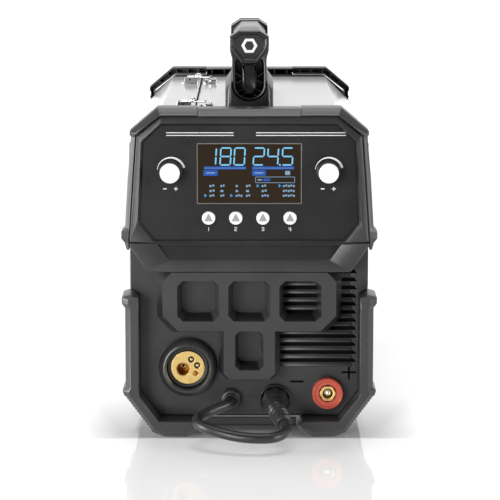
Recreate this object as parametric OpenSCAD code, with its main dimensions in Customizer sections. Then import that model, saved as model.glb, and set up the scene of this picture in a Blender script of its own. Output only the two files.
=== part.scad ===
/* [Overall size] */
// Width over the nibs of the corner guards
overall_w = 230; // [222:1:260]
// Length over the front and rear corner guards
overall_l = 452; // [440:1:520]
// Height of the guard frame above the floor
frame_h = 300; // [290:1:340]
// Height of the carry handle above the guard frame
handle_rise = 64; // [58:1:80]

/* [Body] */
// Setback of the moulded housing sides from the nibs of the guards
body_inset = 7; // [6:0.5:12]
// Drop of the steel cover below the top of the guards
cover_drop = 8; // [6:0.5:12]
// Sheet thickness of the cover, door, base tray and dividing wall
sheet = 1.5; // [1:0.1:2]
// Wall thickness of the moulded housings
mould_wall = 3; // [2:0.5:4]
// Height of the tray floor above the ground
tray_z = 12; // [10:0.5:14]
// Gap round the door and between neighbouring covers
panel_gap = 0.6; // [0.4:0.1:1.5]
// Place of the seam between door and fixed cover, left of the middle
seam_x = 50; // [46:1:60]
// Length of the front and rear housings behind the guards
housing_l = 50; // [46:1:54]
// Place of the dividing wall, left of the middle
divider_x = 6; // [2:1:8]

/* [Corner guards] */
// Depth of the upper guards
upper_depth = 28; // [24:1:36]
// Depth of the lower guards
lower_depth = 38; // [30:1:38]
// Height of the lower end of the upper guards
upper_end = 172; // [168:1:178]
// Height of the upper end of the lower guards
lower_end = 131; // [124:1:138]
// Half length of the bar that joins the upper guards
bar_half = 46; // [36:1:56]
// Stand-out of the rounded nibs at the guard ends
nib = 3; // [2:0.5:4]
// Gap between a guard and the moulding inside it
guard_gap = 0.3; // [0.2:0.1:0.6]

/* [Control panel] */
// Setback of the panel plate from the guard fronts
panel_set = 6; // [4:1:8]
// Thickness of the panel plate
panel_t = 2; // [1.5:0.5:3]
// Width of the display window
window_w = 92; // [70:1:100]
// Height of the display window
window_h = 53; // [40:1:58]
// Height of the window centre above the floor
window_z = 241; // [236:1:244]
// Distance of each knob from the middle
knob_x = 70.5; // [66:0.5:74]
// Height of the knobs above the floor
knob_z = 243; // [236:1:250]
// Radius of the control knobs
knob_r = 9; // [7:0.5:11]
// Length of the control knobs
knob_l = 15; // [10:1:18]
// Radius of the encoder shafts
encoder_r = 3; // [2:0.1:3.5]
// Spacing of the four push buttons
button_pitch = 24.3; // [20:0.1:28]
// Height of the push buttons above the floor
button_z = 201; // [198:1:204]
// Radius of the push buttons
button_r = 5.9; // [4.5:0.1:7]
// Travel of the push buttons
button_travel = 1.5; // [1:0.1:2]

/* [Sockets] */
// Setback of the lower front wall from the guard fronts
wall_set = 26; // [22:1:28]
// Torch connector, distance left of the middle
euro_x = 56; // [52:1:58]
// Torch connector, height above the floor
euro_z = 61; // [58:1:66]
// Outer radius of the torch connector collar
euro_collar_r = 27; // [24:0.5:28]
// Radius of the brass connector body
euro_r = 15.3; // [14:0.1:17]
// Radius of the gas and wire bore in the brass body
euro_bore_r = 5.9; // [5:0.1:6.5]
// Red output socket, distance right of the middle
red_x = 71.5; // [66:0.5:74]
// Red output socket, height above the floor
red_z = 37; // [35:0.5:42]
// Black output socket, distance right of the middle
black_x = 23.5; // [20:0.5:28]
// Black output socket, height above the floor
black_z = 30.5; // [30:0.5:34]
// Outer radius of the output sockets
socket_r = 14.3; // [12.5:0.1:15]
// Bore radius of the brass socket inserts
socket_bore_r = 4.6; // [4:0.1:5]
// Cable gland, distance left of the middle
gland_x = 17; // [15:0.5:20]
// Cable gland, height above the floor
gland_z = 31; // [29:0.5:34]
// Diameter of the polarity lead
lead_d = 9.4; // [8:0.2:10]

/* [Cooling] */
// Number of cooling slots in the front wall
slots = 12; // [6:1:13]
// Spacing of the cooling slots
slot_pitch = 7.5; // [6.5:0.1:7.6]
// Height of each cooling slot
slot_h = 3.4; // [2.5:0.1:4]
// Radius of the cooling fan's rotor
fan_r = 42; // [36:0.5:43]
// Number of fan blades
blades = 7; // [5:1:9]

/* [Handle] */
// Half width of the handle head
head_half = 18; // [16:0.5:20]
// Front face of the handle, distance behind the guard fronts
handle_set = 68; // [64:1:80]
// Length of the handle over both heads
handle_l = 186; // [170:1:200]
// Length of each handle leg
leg_l = 32; // [28:1:36]
// Height of the grip section
grip_h = 27; // [22:1:30]

/* [Wire feed] */
// Outer radius of the wire spool
spool_r = 100; // [80:1:104]
// Width of the wire spool
spool_w = 55; // [45:1:58]
// Radius of the spool bore
spool_bore_r = 26; // [24:0.5:27]
// Radius of the grooved drive roll
drive_r = 15; // [13:0.5:16]
// Radius of the pressure roll
pressure_r = 11; // [9:0.5:12]
// Thickness of the welding wire
wire_d = 1; // [0.6:0.2:1.2]
// Running clearance of every rotating fit
fit = 0.05; // [0.02:0.01:0.1]

/* [Hidden] */
$fn = 64;
hw = overall_w / 2;
bh = hw - body_inset;
front = -overall_l / 2;
rear = overall_l / 2;
side = hw - nib;
lean = 6;
corner_x = 24;
corner_z = 20;
guard_t = 7.5;
panel_y = front + panel_set;
wall_y = front + wall_set;
border_y = front + 2;
groove_d = 6;
cover_top = frame_h - cover_drop;
cover_front = front + housing_l;
cover_rear = rear - housing_l;
cut = 28;
tray_cut = 24;
hinge_x = -bh - 2.4;
hinge_z = tray_z + tray_cut + 8;
bore_off = [-4.5, -1.5];
line_x = -euro_x + bore_off[0];
line_z = euro_z + bore_off[1];
feed_y = -118;
drive_z = line_z - wire_d / 2 - drive_r;
press_z = line_z + wire_d / 2 + pressure_r;
arm_pivot = [feed_y - 32, press_z + 12];
arm_end = feed_y + 34;
plate_x = line_x + 12;
spool_y = 70;
spool_z = tray_z + 138;
spool_x = line_x - spool_w / 2;
fan_x = 49;
fan_z = 150;
fan_half = 46;
fan_t = 25;
rear_wall = rear - wall_set;
switch_x = 51;
switch_z = 245;
latch_rows = [-146, 104];
latch_pivot_x = -seam_x - 11;
latch_pivot_z = cover_top + 4.2;
board_y = panel_y + 14;
board_t = 1.6;
grip_top = frame_h + handle_rise;
handle_front = front + handle_set;
handle_rear = handle_front + handle_l;
socket_front = wall_y - 10;
plug_body = 24;
boot_tail = [black_x + 7.5, wall_y - 58, black_z - 10];
cord_sides = 10;
motor_r = 23;
knuckles = [-130, 0, 130];
knuckle_l = 14;
gland_rear_z = 62;
slot_left = 14;
slot_top = 149;
slot_chamfer = 3;
bezel_foot = upper_end - 20;
groove_z = upper_end - 9;
grille_half = side - 34;
grille_z = euro_z + euro_collar_r + 10;
stem_z = black_z + socket_r + 9.2;
grille_slant = 6;
window_pitch = 46;
cover_foot = hinge_z - 3.7;
board_half = side - 28;
base_half = head_half + 4;
neck_half = head_half - 2;
cord_route = [
    [-gland_x, -212, gland_z], [-gland_x, -217, gland_z], [-21, -223, 30], [-30, -230, 28],
    [-40, -239, 25.5], [-46, -250, 24], [-46, -262, 22.5], [-39, -272.6, 21], [-26, -280.4, 18.5],
    [-10, -285.3, 16], [6, -287.2, 15], [20, -285.2, 15], [29, -277.4, 16], [33, -267, 17.8], boot_tail
];
board_z = tray_z + 78;
lip_half = 43.2;

// ---- outlines in the x-z plane ----
function flip(p) = [for (i = [len(p) - 1 : -1 : 0]) [-p[i][0], p[i][1]]];
function both(p) = concat(p, flip(p));
// right half of the body octagon, inset by o
function body_half(o) = [
    [bh - tray_cut - 0.5 * o, tray_z + o], [bh - o, tray_z + tray_cut + 0.5 * o],
    [bh - o, cover_top - cut - 0.5 * o], [bh - cut - 0.5 * o, cover_top - o]
];
// right half of the moulding that the upper guards wrap, inset by o
function upper_half(o) = [
    [side - 21 - 0.6 * o, bezel_foot + o], [side - 4.5 - o, upper_end + 4],
    [side - 8.5 - o, frame_h - 64], [side - 11.5 - o, frame_h - 25 - 0.4 * o],
    [side - 33 - 0.4 * o, frame_h - guard_t - o]
];
// right half of the lower front wall, inset by o
function lower_half(o) = [
    [side - 30.5 - 0.4 * o, 15.5 + o], [side - 12.5 - o, 39 + 0.4 * o],
    [side - 12.5 - o, lower_end - 2], [bh - o, lower_end + 3],
    [bh - o, upper_end - 0.6], [side - 21, upper_end - 0.6]
];
// right half of the panel plate, inset by o
function panel_half(o) = [
    [side - 27.5 - 0.6 * o, upper_end + 9 + o], [side - 14 - o, upper_end + 25.5],
    [side - 16 - o, frame_h - 65], [side - 17.5 - o, frame_h - 31],
    [side - 34 - 0.4 * o, frame_h - 15.5 - o]
];

// ---- helpers ----
// an x-z outline run along y
module run(points, y0, y1) {
    translate([0, y1, 0])
    rotate([90, 0, 0])
    linear_extrude(height = y1 - y0)
    polygon(points);
}
// a y-z outline run along x
module run_x(points, x0, x1) {
    translate([x0, 0, 0])
    rotate([90, 0, 90])
    linear_extrude(height = x1 - x0)
    polygon(points);
}
// a cylinder along y
module rod_y(r, y0, y1, x, z) {
    translate([x, y1, z])
    rotate([90, 0, 0])
    cylinder(h = y1 - y0, r = r);
}
// a cylinder along x
module rod_x(r, x0, x1, y, z) {
    translate([x0, y, z])
    rotate([0, 90, 0])
    cylinder(h = x1 - x0, r = r);
}
// a solid of revolution round a y axis, profile given as [radius, y]
module turn_y(profile, x, z) {
    translate([x, 0, z])
    rotate([-90, 0, 0])
    rotate_extrude()
    polygon(profile);
}
// a box from one corner to the other
module block(a, b) {
    translate(a)
    cube(b - a);
}
// a block of four-sided taper, from the outline at y0 to the outline at y1
module draft(points0, y0, points1, y1) {
    hull() {
        run(points0, y0, y0 + 0.01);
        run(points1, y1 - 0.01, y1);
    }
}
// a rectangle with cut corners
function cut_box(x0, x1, z0, z1, c) = [
    [x0 + c, z0], [x1 - c, z0], [x1, z0 + c], [x1, z1 - c],
    [x1 - c, z1], [x0 + c, z1], [x0, z1 - c], [x0, z0 + c]
];

// ---- steel casing ----
// base tray with turned-up slanted sides and a joggled tongue inside each housing rim
module base_tray() {
    tongue_z = tray_z + mould_wall;
    tongue_half = bh - tray_cut - 10;
    color("dimgray") {
        difference() {
            run(both([[bh - tray_cut, tray_z], [bh, tray_z + tray_cut], [bh, hinge_z - 4]]),
                cover_front, cover_rear);
            run(both([[bh - tray_cut - 0.6, tray_z + sheet], [bh - sheet, tray_z + tray_cut + 0.4],
                [bh - sheet, hinge_z]]), cover_front - 1, cover_rear + 1);
        }
        for (s = [-1, 1]) {
            y0 = s * cover_rear;
            y1 = s * (cover_rear + 6);
            block([-tongue_half, min(y0, y1) - 2, tongue_z],
                [tongue_half, max(y0, y1) + 2, tongue_z + sheet]);
            block([-tongue_half, y0 - (s + 1), tray_z + sheet],
                [tongue_half, y0 - (s - 1), tongue_z + sheet]);
        }
    }
}

// upright wall between the wire bay and the power bay, with its foot flange
module divider_wall() {
    color("silver")
    difference() {
        union() {
            block([-divider_x, cover_front + 3, tray_z + sheet],
                [-divider_x + sheet, cover_rear - 3, cover_top - sheet]);
            block([-divider_x, cover_front + 3, tray_z + sheet],
                [-divider_x + 12, cover_rear - 3, tray_z + 2 * sheet]);
        }
        rod_x(motor_r + 1.5, -divider_x - 1, -divider_x + sheet + 1, feed_y, drive_z);
    }
}

// fixed cover: right side, slanted shoulder and top up to the seam
module main_cover() {
    color("#c4c5c7")
    run([[bh, cover_foot], [bh, cover_top - cut], [bh - cut, cover_top], [-seam_x, cover_top],
        [-seam_x, cover_top - 8], [-seam_x + sheet, cover_top - 8],
        [-seam_x + sheet, cover_top - sheet], [bh - cut - 0.6, cover_top - sheet],
        [bh - sheet, cover_top - cut - 0.6], [bh - sheet, cover_foot]],
        cover_front + panel_gap, cover_rear - panel_gap);
}

// rear moulding with fan grille, switch, gland and gas inlet openings
module rear_panel() {
    grille_step = 9;
    color("#303030")
    difference() {
        union() {
            run(both(upper_half(0)), rear - lower_depth - 3, rear_wall);
            run(both(lower_half(guard_gap)), rear - lower_depth - 3, rear_wall);
            run(both(body_half(0)), cover_rear, rear - lower_depth);
        }
        run(both(upper_half(mould_wall)), cover_rear - 1, rear_wall - mould_wall);
        run(both(lower_half(mould_wall)), cover_rear - 1, rear_wall - mould_wall);
        run(both(body_half(mould_wall)), cover_rear - 1, rear - lower_depth - 3);
        for (i = [-4 : 4]) {
            w = sqrt(pow(fan_r - 2, 2) - pow(i * grille_step, 2));
            block([fan_x - w, rear_wall - 5, fan_z + i * grille_step - 3],
                [fan_x + w, rear_wall + 1, fan_z + i * grille_step + 3]);
        }
        block([switch_x - 11, rear_wall - 5, switch_z - 14],
            [switch_x + 11, rear_wall + 1, switch_z + 14]);
        rod_y(8, rear_wall - 5, rear_wall + 1, fan_x, gland_rear_z);
        rod_y(5, rear_wall - 5, rear_wall + 1, line_x, gland_rear_z);
    }
}

// ---- front ----
// panel frame with the bar below it, seated on the front of the housing
module front_bezel() {
    color("#3a3a3c")
    difference() {
        run(both(upper_half(0)), border_y, wall_y);
        run(both(panel_half(0)), border_y - 1, panel_y + panel_t);
        run(both([[side - 40, groove_z], [side - 29.5, upper_end + 5.5]]),
            border_y - 1, border_y + groove_d);
        block([-side + 24, border_y, button_z - 9], [side - 24, panel_y + 12, frame_h - 24]);
        run(both(upper_half(mould_wall)), panel_y + panel_t + 2.5, wall_y + 1);
    }
}

// recessed lower wall with slots, sleeve behind the bezel and rear rim
module front_housing() {
    color("#3a3a3c")
    difference() {
        union() {
            run(both(upper_half(0)), wall_y, front + lower_depth + 3);
            run(both(lower_half(guard_gap)), wall_y, front + lower_depth + 3);
            run(both(body_half(0)), front + lower_depth, cover_front);
            block([-lip_half, wall_y, tray_z - 4], [lip_half, wall_y + mould_wall, tray_z + 1]);
            block([-lip_half, wall_y + 1.4, tray_z - 7], [lip_half, wall_y + mould_wall, tray_z]);
            block([-lip_half, wall_y, tray_z - 7.6], [lip_half, wall_y + mould_wall, tray_z - 6.2]);
        }
        run(both(upper_half(mould_wall)), wall_y - 1, cover_front + 1);
        run(both(lower_half(mould_wall)), wall_y + mould_wall, cover_front + 1);
        run(both(body_half(mould_wall)), front + lower_depth + 3, cover_front + 1);
        for (i = [0 : slots - 1]) {
            cooling_slot(slot_top - i * slot_pitch);
        }
        rod_y(euro_collar_r - 8, wall_y - 1, wall_y + 4, -euro_x, euro_z);
        rod_y(socket_r - 3, wall_y - 1, wall_y + 4, red_x, red_z);
        rod_y(socket_r - 3, wall_y - 1, wall_y + 4, black_x, black_z);
        rod_y(6.5, wall_y - 1, wall_y + 4, -gland_x, gland_z);
    }
}

// one cooling slot with chamfered ends
module cooling_slot(z) {
    right = side - slot_left;
    run([[slot_left + slot_chamfer, z + slot_h / 2], [slot_left, z - slot_h / 2],
        [right, z - slot_h / 2], [right - slot_chamfer, z + slot_h / 2]], wall_y - 1, wall_y + 4);
}

// raised lattice guard on the lower wall: three openings above one, all walls drafted
module front_grille() {
    y0 = front + 3;
    top_z = bezel_foot - guard_gap;
    color("#454547")
    difference() {
        union() {
            draft(cut_box(-grille_half, grille_half, grille_z, top_z + 6, 14), y0,
                cut_box(-grille_half - grille_slant, grille_half + grille_slant,
                    grille_z - 5, top_z + 6, 14), wall_y);
            draft(cut_box(-23, 23, stem_z, 110, 5), y0, cut_box(-28, 28, stem_z - 5, 110, 7), wall_y);
        }
        block([-side, front, top_z], [side, wall_y + 1, top_z + 20]);
        for (x = [-window_pitch, 0, window_pitch]) {
            draft(cut_box(x - 19, x + 19, grille_z + 9, top_z - 7.7, 5), y0 - 0.1,
                cut_box(x - 15, x + 15, grille_z + 13, top_z - 11.7, 4), wall_y + 0.1);
        }
        draft(cut_box(-13, 13, stem_z + 8, grille_z, 4), y0 - 0.1,
            cut_box(-10, 10, stem_z + 12, grille_z - 4, 3), wall_y + 0.1);
    }
}

// thin plate that carries window, knobs and buttons
module control_panel() {
    color("#1a1a1a")
    difference() {
        run(both(panel_half(guard_gap)), panel_y, panel_y + panel_t);
        block([-window_w / 2, panel_y - 1, window_z - window_h / 2],
            [window_w / 2, panel_y + panel_t + 1, window_z + window_h / 2]);
        for (s = [-1, 1]) {
            rod_y(encoder_r + 1, panel_y - 1, panel_y + panel_t + 1, s * knob_x, knob_z);
        }
        for (i = [0 : 3]) {
            rod_y(button_r + 0.3, panel_y - 1, panel_y + panel_t + 1, button_x(i), button_z);
        }
    }
}
function button_x(i) = (i - 1.5) * button_pitch;

// clear window over the display
module display_lens() {
    color("#2d2114")
    block([-window_w / 2 + 0.2, panel_y, window_z - window_h / 2 + 0.2],
        [window_w / 2 - 0.2, panel_y + panel_t - 0.5, window_z + window_h / 2 - 0.2]);
}

// circuit board on four posts, with the display module, two encoders and four tact switches
module control_board() {
    post_x = board_half - 4;
    back = panel_y + panel_t;
    color("darkgreen") {
        block([-board_half, board_y, button_z - 7], [board_half, board_y + board_t, frame_h - 28]);
        block([-window_w / 2, back, window_z - window_h / 2],
            [window_w / 2, board_y, window_z + window_h / 2]);
        for (s = [-1, 1]) {
            block([s * knob_x - 6.5, board_y - 7, knob_z - 6.5],
                [s * knob_x + 6.5, board_y, knob_z + 6.5]);
            rod_y(encoder_r, panel_y - knob_l + 3, board_y - 6, s * knob_x, knob_z);
            for (z = [button_z - 3, frame_h - 32]) {
                rod_y(3, back, board_y, s * post_x, z);
            }
        }
        for (i = [0 : 3]) {
            block([button_x(i) - 3, board_y - 5, button_z - 3],
                [button_x(i) + 3, board_y, button_z + 3]);
        }
    }
}

// turned knob with a flat cap and a knurled skirt
module knob(x) {
    y0 = panel_y - knob_l;
    color("gainsboro")
    difference() {
        turn_y([[0, y0], [knob_r - 1, y0], [knob_r, y0 + 1], [knob_r, panel_y - 3],
            [knob_r + 1.6, panel_y - 3], [knob_r + 1.6, panel_y - 0.5], [0, panel_y - 0.5]], x, knob_z);
        rod_y(encoder_r + fit, y0 + 2.5, panel_y + 1, x, knob_z);
    }
}
module knob_left() { knob(-knob_x); }
module knob_right() { knob(knob_x); }

// round push button with its retaining flange behind the panel
module button(i) {
    color("white")
    turn_y([[0, panel_y - 2.5], [button_r - 0.5, panel_y - 2.5], [button_r, panel_y - 2],
        [button_r, panel_y + panel_t + 0.4], [button_r + 1.2, panel_y + panel_t + 0.4],
        [button_r + 1.2, panel_y + panel_t + 1.6], [2, panel_y + panel_t + 1.6],
        [2, board_y - 5 - button_travel - 0.3], [0, board_y - 5 - button_travel - 0.3]],
        button_x(i), button_z);
}
module button_1() { button(0); }
module button_2() { button(1); }
module button_3() { button(2); }
module button_4() { button(3); }

// ---- corner guards ----
function upper_guard() = [
    [bar_half, frame_h], [side - lean - corner_x, frame_h], [side - lean, frame_h - corner_z],
    [side - 0.5, upper_end + 20], [hw, upper_end + 16], [hw, upper_end + 10], [side, upper_end + 6],
    [side - 2, upper_end], [side - 4.5 + guard_gap, upper_end], [side - 4.5 + guard_gap, upper_end + 4],
    [side - 8.5 + guard_gap, frame_h - 64], [side - 11.5 + guard_gap, frame_h - 25 + guard_gap / 2],
    [side - 33 + guard_gap / 2, frame_h - guard_t + guard_gap], [bar_half, frame_h - guard_t + guard_gap]
];
function lower_guard() = [
    [side - 4, lower_end], [hw, lower_end - 2], [hw, lower_end - 8], [side, lower_end - 12],
    [side, 46], [hw, 43], [hw - 1, 39], [side - 24, 4], [side - 35, 0], [side - 55, 0],
    [side - 66, 6.5], [side - 68, 9], [side - 64, 15], [side - 30.5, 15],
    [side - 12.5, 38.8], [side - 12.5, lower_end - 2.3]
];
module guard_front_upper_left() { color("#333333") run(flip(upper_guard()), front, front + upper_depth); }
module guard_front_upper_right() { color("#333333") run(upper_guard(), front, front + upper_depth); }
module guard_front_lower_left() { color("#333333") run(flip(lower_guard()), front, front + lower_depth); }
module guard_front_lower_right() { color("#333333") run(lower_guard(), front, front + lower_depth); }
module guards_rear() {
    color("#333333") {
        run(upper_guard(), rear - upper_depth, rear);
        run(flip(upper_guard()), rear - upper_depth, rear);
        run(lower_guard(), rear - lower_depth, rear);
        run(flip(lower_guard()), rear - lower_depth, rear);
    }
}

// bars that close the frame at the top, front and rear
module top_bars() {
    outline = both([[bar_half - 0.4, frame_h - guard_t + guard_gap], [bar_half - 0.4, frame_h - 0.8]]);
    color("#333333") {
        run(outline, front, front + upper_depth);
        run(outline, rear - upper_depth, rear);
    }
}

// pan-head screws of the top bars, the cover and the rear panel
module frame_screws() {
    head_r = 3.4;
    head_h = 1.6;
    color("#222222") {
        for (y = [front + upper_depth / 2, rear - upper_depth / 2]) {
            translate([0, y, frame_h - 0.8])
            cylinder(h = head_h / 2, r = head_r);
        }
        for (y = [cover_front + 14, cover_rear - 14], z = [60, 240]) {
            rod_x(head_r, bh, bh + head_h, y, z);
        }
        for (x = [-side + 22, side - 22], z = [60, 240]) {
            rod_y(head_r, rear_wall, rear_wall + head_h, x, z);
        }
    }
}

// ---- torch connector ----
// stepped collar on the front wall
module euro_collar() {
    r_in = euro_r + 4;
    color("#4a4a4c")
    turn_y([[r_in, wall_y], [euro_collar_r, wall_y], [euro_collar_r, wall_y - 6],
        [euro_collar_r - 5, wall_y - 12], [r_in, wall_y - 12]], -euro_x, euro_z);
}
// insulating sleeve round the brass body, clamped through the wall
module euro_insulator() {
    color("#151515")
    turn_y([[euro_r + 0.1, wall_y - 9], [euro_r + 3.7, wall_y - 9], [euro_r + 3.7, wall_y],
        [euro_collar_r - 8.3, wall_y], [euro_collar_r - 8.3, wall_y + mould_wall + 0.1],
        [euro_collar_r - 4, wall_y + mould_wall + 0.1], [euro_collar_r - 4, wall_y + 9],
        [euro_r + 0.1, wall_y + 9]], -euro_x, euro_z);
}
// brass body with wire bore, gas bore and two trigger pins, tube back to the feeder
module euro_body() {
    y0 = wall_y - 6;
    color("goldenrod")
    difference() {
        union() {
            rod_y(euro_r, y0, wall_y + 14, -euro_x, euro_z);
            rod_y(euro_bore_r + 3, wall_y + 14, feed_y - drive_r - 26, line_x, line_z);
        }
        rod_y(euro_bore_r, y0 - 1, y0 + 16, line_x, line_z);
        rod_y(1.2, y0 - 1, feed_y, line_x, line_z);
        rod_y(2.4, y0 - 1, y0 + 12, -euro_x + 7, euro_z - 5.5);
        for (p = [[3, 7.5], [8.5, 2]]) {
            difference() {
                rod_y(2.8, y0 - 1, y0 + 8, -euro_x + p[0], euro_z + p[1]);
                rod_y(1.2, y0 - 2, y0 + 9, -euro_x + p[0], euro_z + p[1]);
            }
        }
    }
}

// ---- output sockets and polarity lead ----
// red insulating barrel
module red_socket() {
    color("firebrick")
    turn_y([[8, socket_front + 3], [socket_r - 2, socket_front + 3], [socket_r - 1.5, socket_front],
        [socket_r, socket_front + 1], [socket_r, wall_y], [socket_r - 3.3, wall_y],
        [socket_r - 3.3, wall_y + 8], [8, wall_y + 8]], red_x, red_z);
}
// brass insert with the bayonet bore
module red_socket_insert() {
    color("goldenrod")
    difference() {
        rod_y(7.7, socket_front + 2, wall_y + 16, red_x, red_z);
        rod_y(socket_bore_r, socket_front - 1, wall_y + 12, red_x, red_z);
    }
}
// black socket: insulating collar and brass insert
module black_socket() {
    color("#1c1c1c")
    difference() {
        turn_y([[0, wall_y - 1], [socket_r - 1.4, wall_y - 1], [socket_r - 1.4, socket_front + 3],
            [socket_r, socket_front + 3], [socket_r, wall_y], [socket_r - 3.3, wall_y],
            [socket_r - 3.3, wall_y + 8], [7.7, wall_y + 8], [7.7, wall_y + 16], [0, wall_y + 16]],
            black_x, black_z);
        rod_y(socket_bore_r, wall_y - 2, wall_y + 12, black_x, black_z);
    }
}
// ring gland in the wall that the lead leaves through
module cable_gland() {
    color("#4a4a4c")
    turn_y([[lead_d / 2, wall_y - 12], [lead_d / 2 + 1.2, wall_y - 12], [lead_d / 2 + 1.2, wall_y - 4],
        [8, wall_y - 4], [8.8, wall_y - 7], [9.8, wall_y - 5.5], [9.8, wall_y], [6.2, wall_y],
        [6.2, wall_y + 8], [lead_d / 2, wall_y + 8]], -gland_x, gland_z);
}

// points along a smooth curve through the route
function spline(a, b, c, d, t) =
    0.5 * (2 * b + (c - a) * t + (2 * a - 5 * b + 4 * c - d) * t * t
    + (3 * b - a - 3 * c + d) * t * t * t);
function at(p, i) = p[max(0, min(len(p) - 1, i))];
function smooth_route(p, n) = [
    for (i = [0 : len(p) - 2], k = [0 : n - 1])
        spline(at(p, i - 1), at(p, i), at(p, i + 1), at(p, i + 2), k / n),
    p[len(p) - 1]
];
function unit(v) = v / norm(v);
// one ring of points round the curve at point i, its first point upwards
function ring(c, i, r, n) =
    let (t = unit(at(c, i + 1) - at(c, i - 1)),
        s = unit(cross(t, [0, 0, 1])),
        u = cross(s, t))
    [for (k = [0 : n - 1]) c[i] + r * (cos(360 * k / n) * u + sin(360 * k / n) * s)];
// closed tube along a curve
module tube(c, r, n) {
    m = len(c);
    points = [for (i = [0 : m - 1]) each ring(c, i, r, n)];
    walls = [for (i = [0 : m - 2], k = [0 : n - 1]) each [
        [i * n + k, i * n + (k + 1) % n, (i + 1) * n + (k + 1) % n],
        [i * n + k, (i + 1) * n + (k + 1) % n, (i + 1) * n + k]
    ]];
    caps = [[for (k = [n - 1 : -1 : 0]) k], [for (k = [0 : n - 1]) (m - 1) * n + k]];
    polyhedron(points = points, faces = concat(walls, caps));
}
module polarity_lead() {
    color("#202020")
    tube(smooth_route(cord_route, 2), lead_d / 2, cord_sides);
}

// bayonet plug with its drooping ribbed boot
module lead_plug() {
    y0 = wall_y - 1.3;
    axis = boot_tail - [black_x, y0 - plug_body, black_z];
    length = norm(axis);
    color("#262626") {
        rod_y(socket_r - 1.7, y0 - plug_body, y0, black_x, black_z);
        rod_y(socket_bore_r - 0.3, y0 - 1, y0 + 10, black_x, black_z);
        translate([black_x, y0 - plug_body + 1, black_z])
        sphere(r = socket_r - 4);
        translate([black_x, y0 - plug_body, black_z])
        rotate([0, acos(axis[2] / length), atan2(axis[1], axis[0])]) {
            cylinder(h = length, r = lead_d / 2 + 1.6);
            for (i = [0 : 3]) {
                translate([0, 0, length - 5 - i * 5])
                cylinder(h = 2.5, r = lead_d / 2 + 3.6);
            }
        }
    }
}

// ---- carry handle ----
// base on the cover: long plate with a raised block at each leg
module handle_base() {
    color("#2a2a2c")
    for (y = [handle_front, handle_rear - leg_l]) {
        difference() {
            run(both([[base_half, cover_top], [base_half, cover_top + 26],
                [base_half - 5, cover_top + 34]]), y - 5, y + leg_l + 5);
            block([-neck_half - 0.2, y - 6, cover_top + 8], [neck_half + 0.2, y + leg_l + 6, grip_top]);
        }
    }
    color("#2a2a2c")
    block([-head_half, handle_front + leg_l + 5, cover_top],
        [head_half, handle_rear - leg_l - 5, cover_top + 4]);
}
function leg_half() = [
    [neck_half - 3, cover_top + 8], [neck_half, cover_top + 16], [neck_half, grip_top - 26],
    [head_half, grip_top - 18],
    [head_half, grip_top - 6], [9, grip_top]
];
// upright with an octagonal head and side windows beside its tongue
module leg(y0, y1) {
    window = neck_half - 4.5;
    color("#2f2f31")
    difference() {
        run(both(leg_half()), y0, y1);
        for (s = [-1, 1], z = [cover_top + 24, cover_top + 40]) {
            block([s * window - 2.5, y0 - 1, z - 5], [s * window + 2.5, y1 + 1, z + 5]);
        }
    }
}
module handle_front_leg() { leg(handle_front, handle_front + leg_l); }
module handle_rear_leg() { leg(handle_rear - leg_l, handle_rear); }
// padded grip between the heads
module handle_grip() {
    z0 = grip_top - grip_h;
    color("#3c3c3e")
    run(both([[neck_half - 6, z0], [neck_half - 1, z0 + 6], [neck_half - 1, grip_top - 8],
        [neck_half - 8, grip_top - 1]]),
        handle_front + leg_l, handle_rear - leg_l);
}

// ---- side door ----
// left side, slanted shoulder and top flange, with hinge knuckles
module side_door() {
    w = bh + 2;
    y0 = cover_front + panel_gap;
    y1 = cover_rear - panel_gap;
    color("#c4c5c7")
    difference() {
        union() {
            run([[-seam_x - panel_gap, cover_top], [-w + cut + 1, cover_top], [-w, cover_top - cut - 1],
                [-w, hinge_z + 1], [-w + sheet, hinge_z + 1], [-w + sheet, cover_top - cut - 1.6],
                [-w + cut + 1.6, cover_top - sheet], [-seam_x - panel_gap, cover_top - sheet]], y0, y1);
            for (y = knuckles) {
                rod_y(2.8, y + 0.3, y + knuckle_l, hinge_x, hinge_z);
                block([-w, y + 0.3, hinge_z], [-w + sheet, y + knuckle_l, hinge_z + 2]);
            }
        }
        for (y = knuckles) {
            rod_y(1.5 + fit, y - 1, y + knuckle_l + 1, hinge_x, hinge_z);
            block([-w - 1, y - knuckle_l - 0.4, hinge_z], [-w + sheet + 1, y, hinge_z + 4]);
        }
    }
}
// fixed knuckles, leaves and pins
module door_hinges() {
    color("silver")
    for (y = knuckles) {
        rod_y(2.8, y - knuckle_l, y, hinge_x, hinge_z);
        rod_y(1.5, y - 1, y + knuckle_l, hinge_x, hinge_z);
        block([-bh - 2.4, y - knuckle_l, tray_z + tray_cut], [-bh, y, hinge_z]);
    }
}

// ---- draw latches ----
// plates with ears on the door
module latch_bases() {
    color("silver")
    for (y = latch_rows) {
        block([-seam_x - 20, y - 7, cover_top], [-seam_x - 2, y + 7, cover_top + 1.2]);
        for (s = [-1, 1]) {
            difference() {
                union() {
                    block([latch_pivot_x - 3, y + s * 6 - 1, cover_top],
                        [latch_pivot_x + 3, y + s * 6 + 1, latch_pivot_z]);
                    rod_y(3, y + s * 6 - 1, y + s * 6 + 1, latch_pivot_x, latch_pivot_z);
                }
                rod_y(1.2, y + s * 6 - 2, y + s * 6 + 2, latch_pivot_x, latch_pivot_z);
            }
        }
    }
}
// plates with an upstanding catch on the fixed cover
module latch_keepers() {
    color("silver")
    for (y = latch_rows) {
        block([-seam_x + 2.5, y - 7, cover_top], [-seam_x + 17, y + 7, cover_top + 1.2]);
        block([-seam_x + 4, y - 5, cover_top + 1.2], [-seam_x + 7, y + 5, cover_top + 4]);
    }
}
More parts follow.
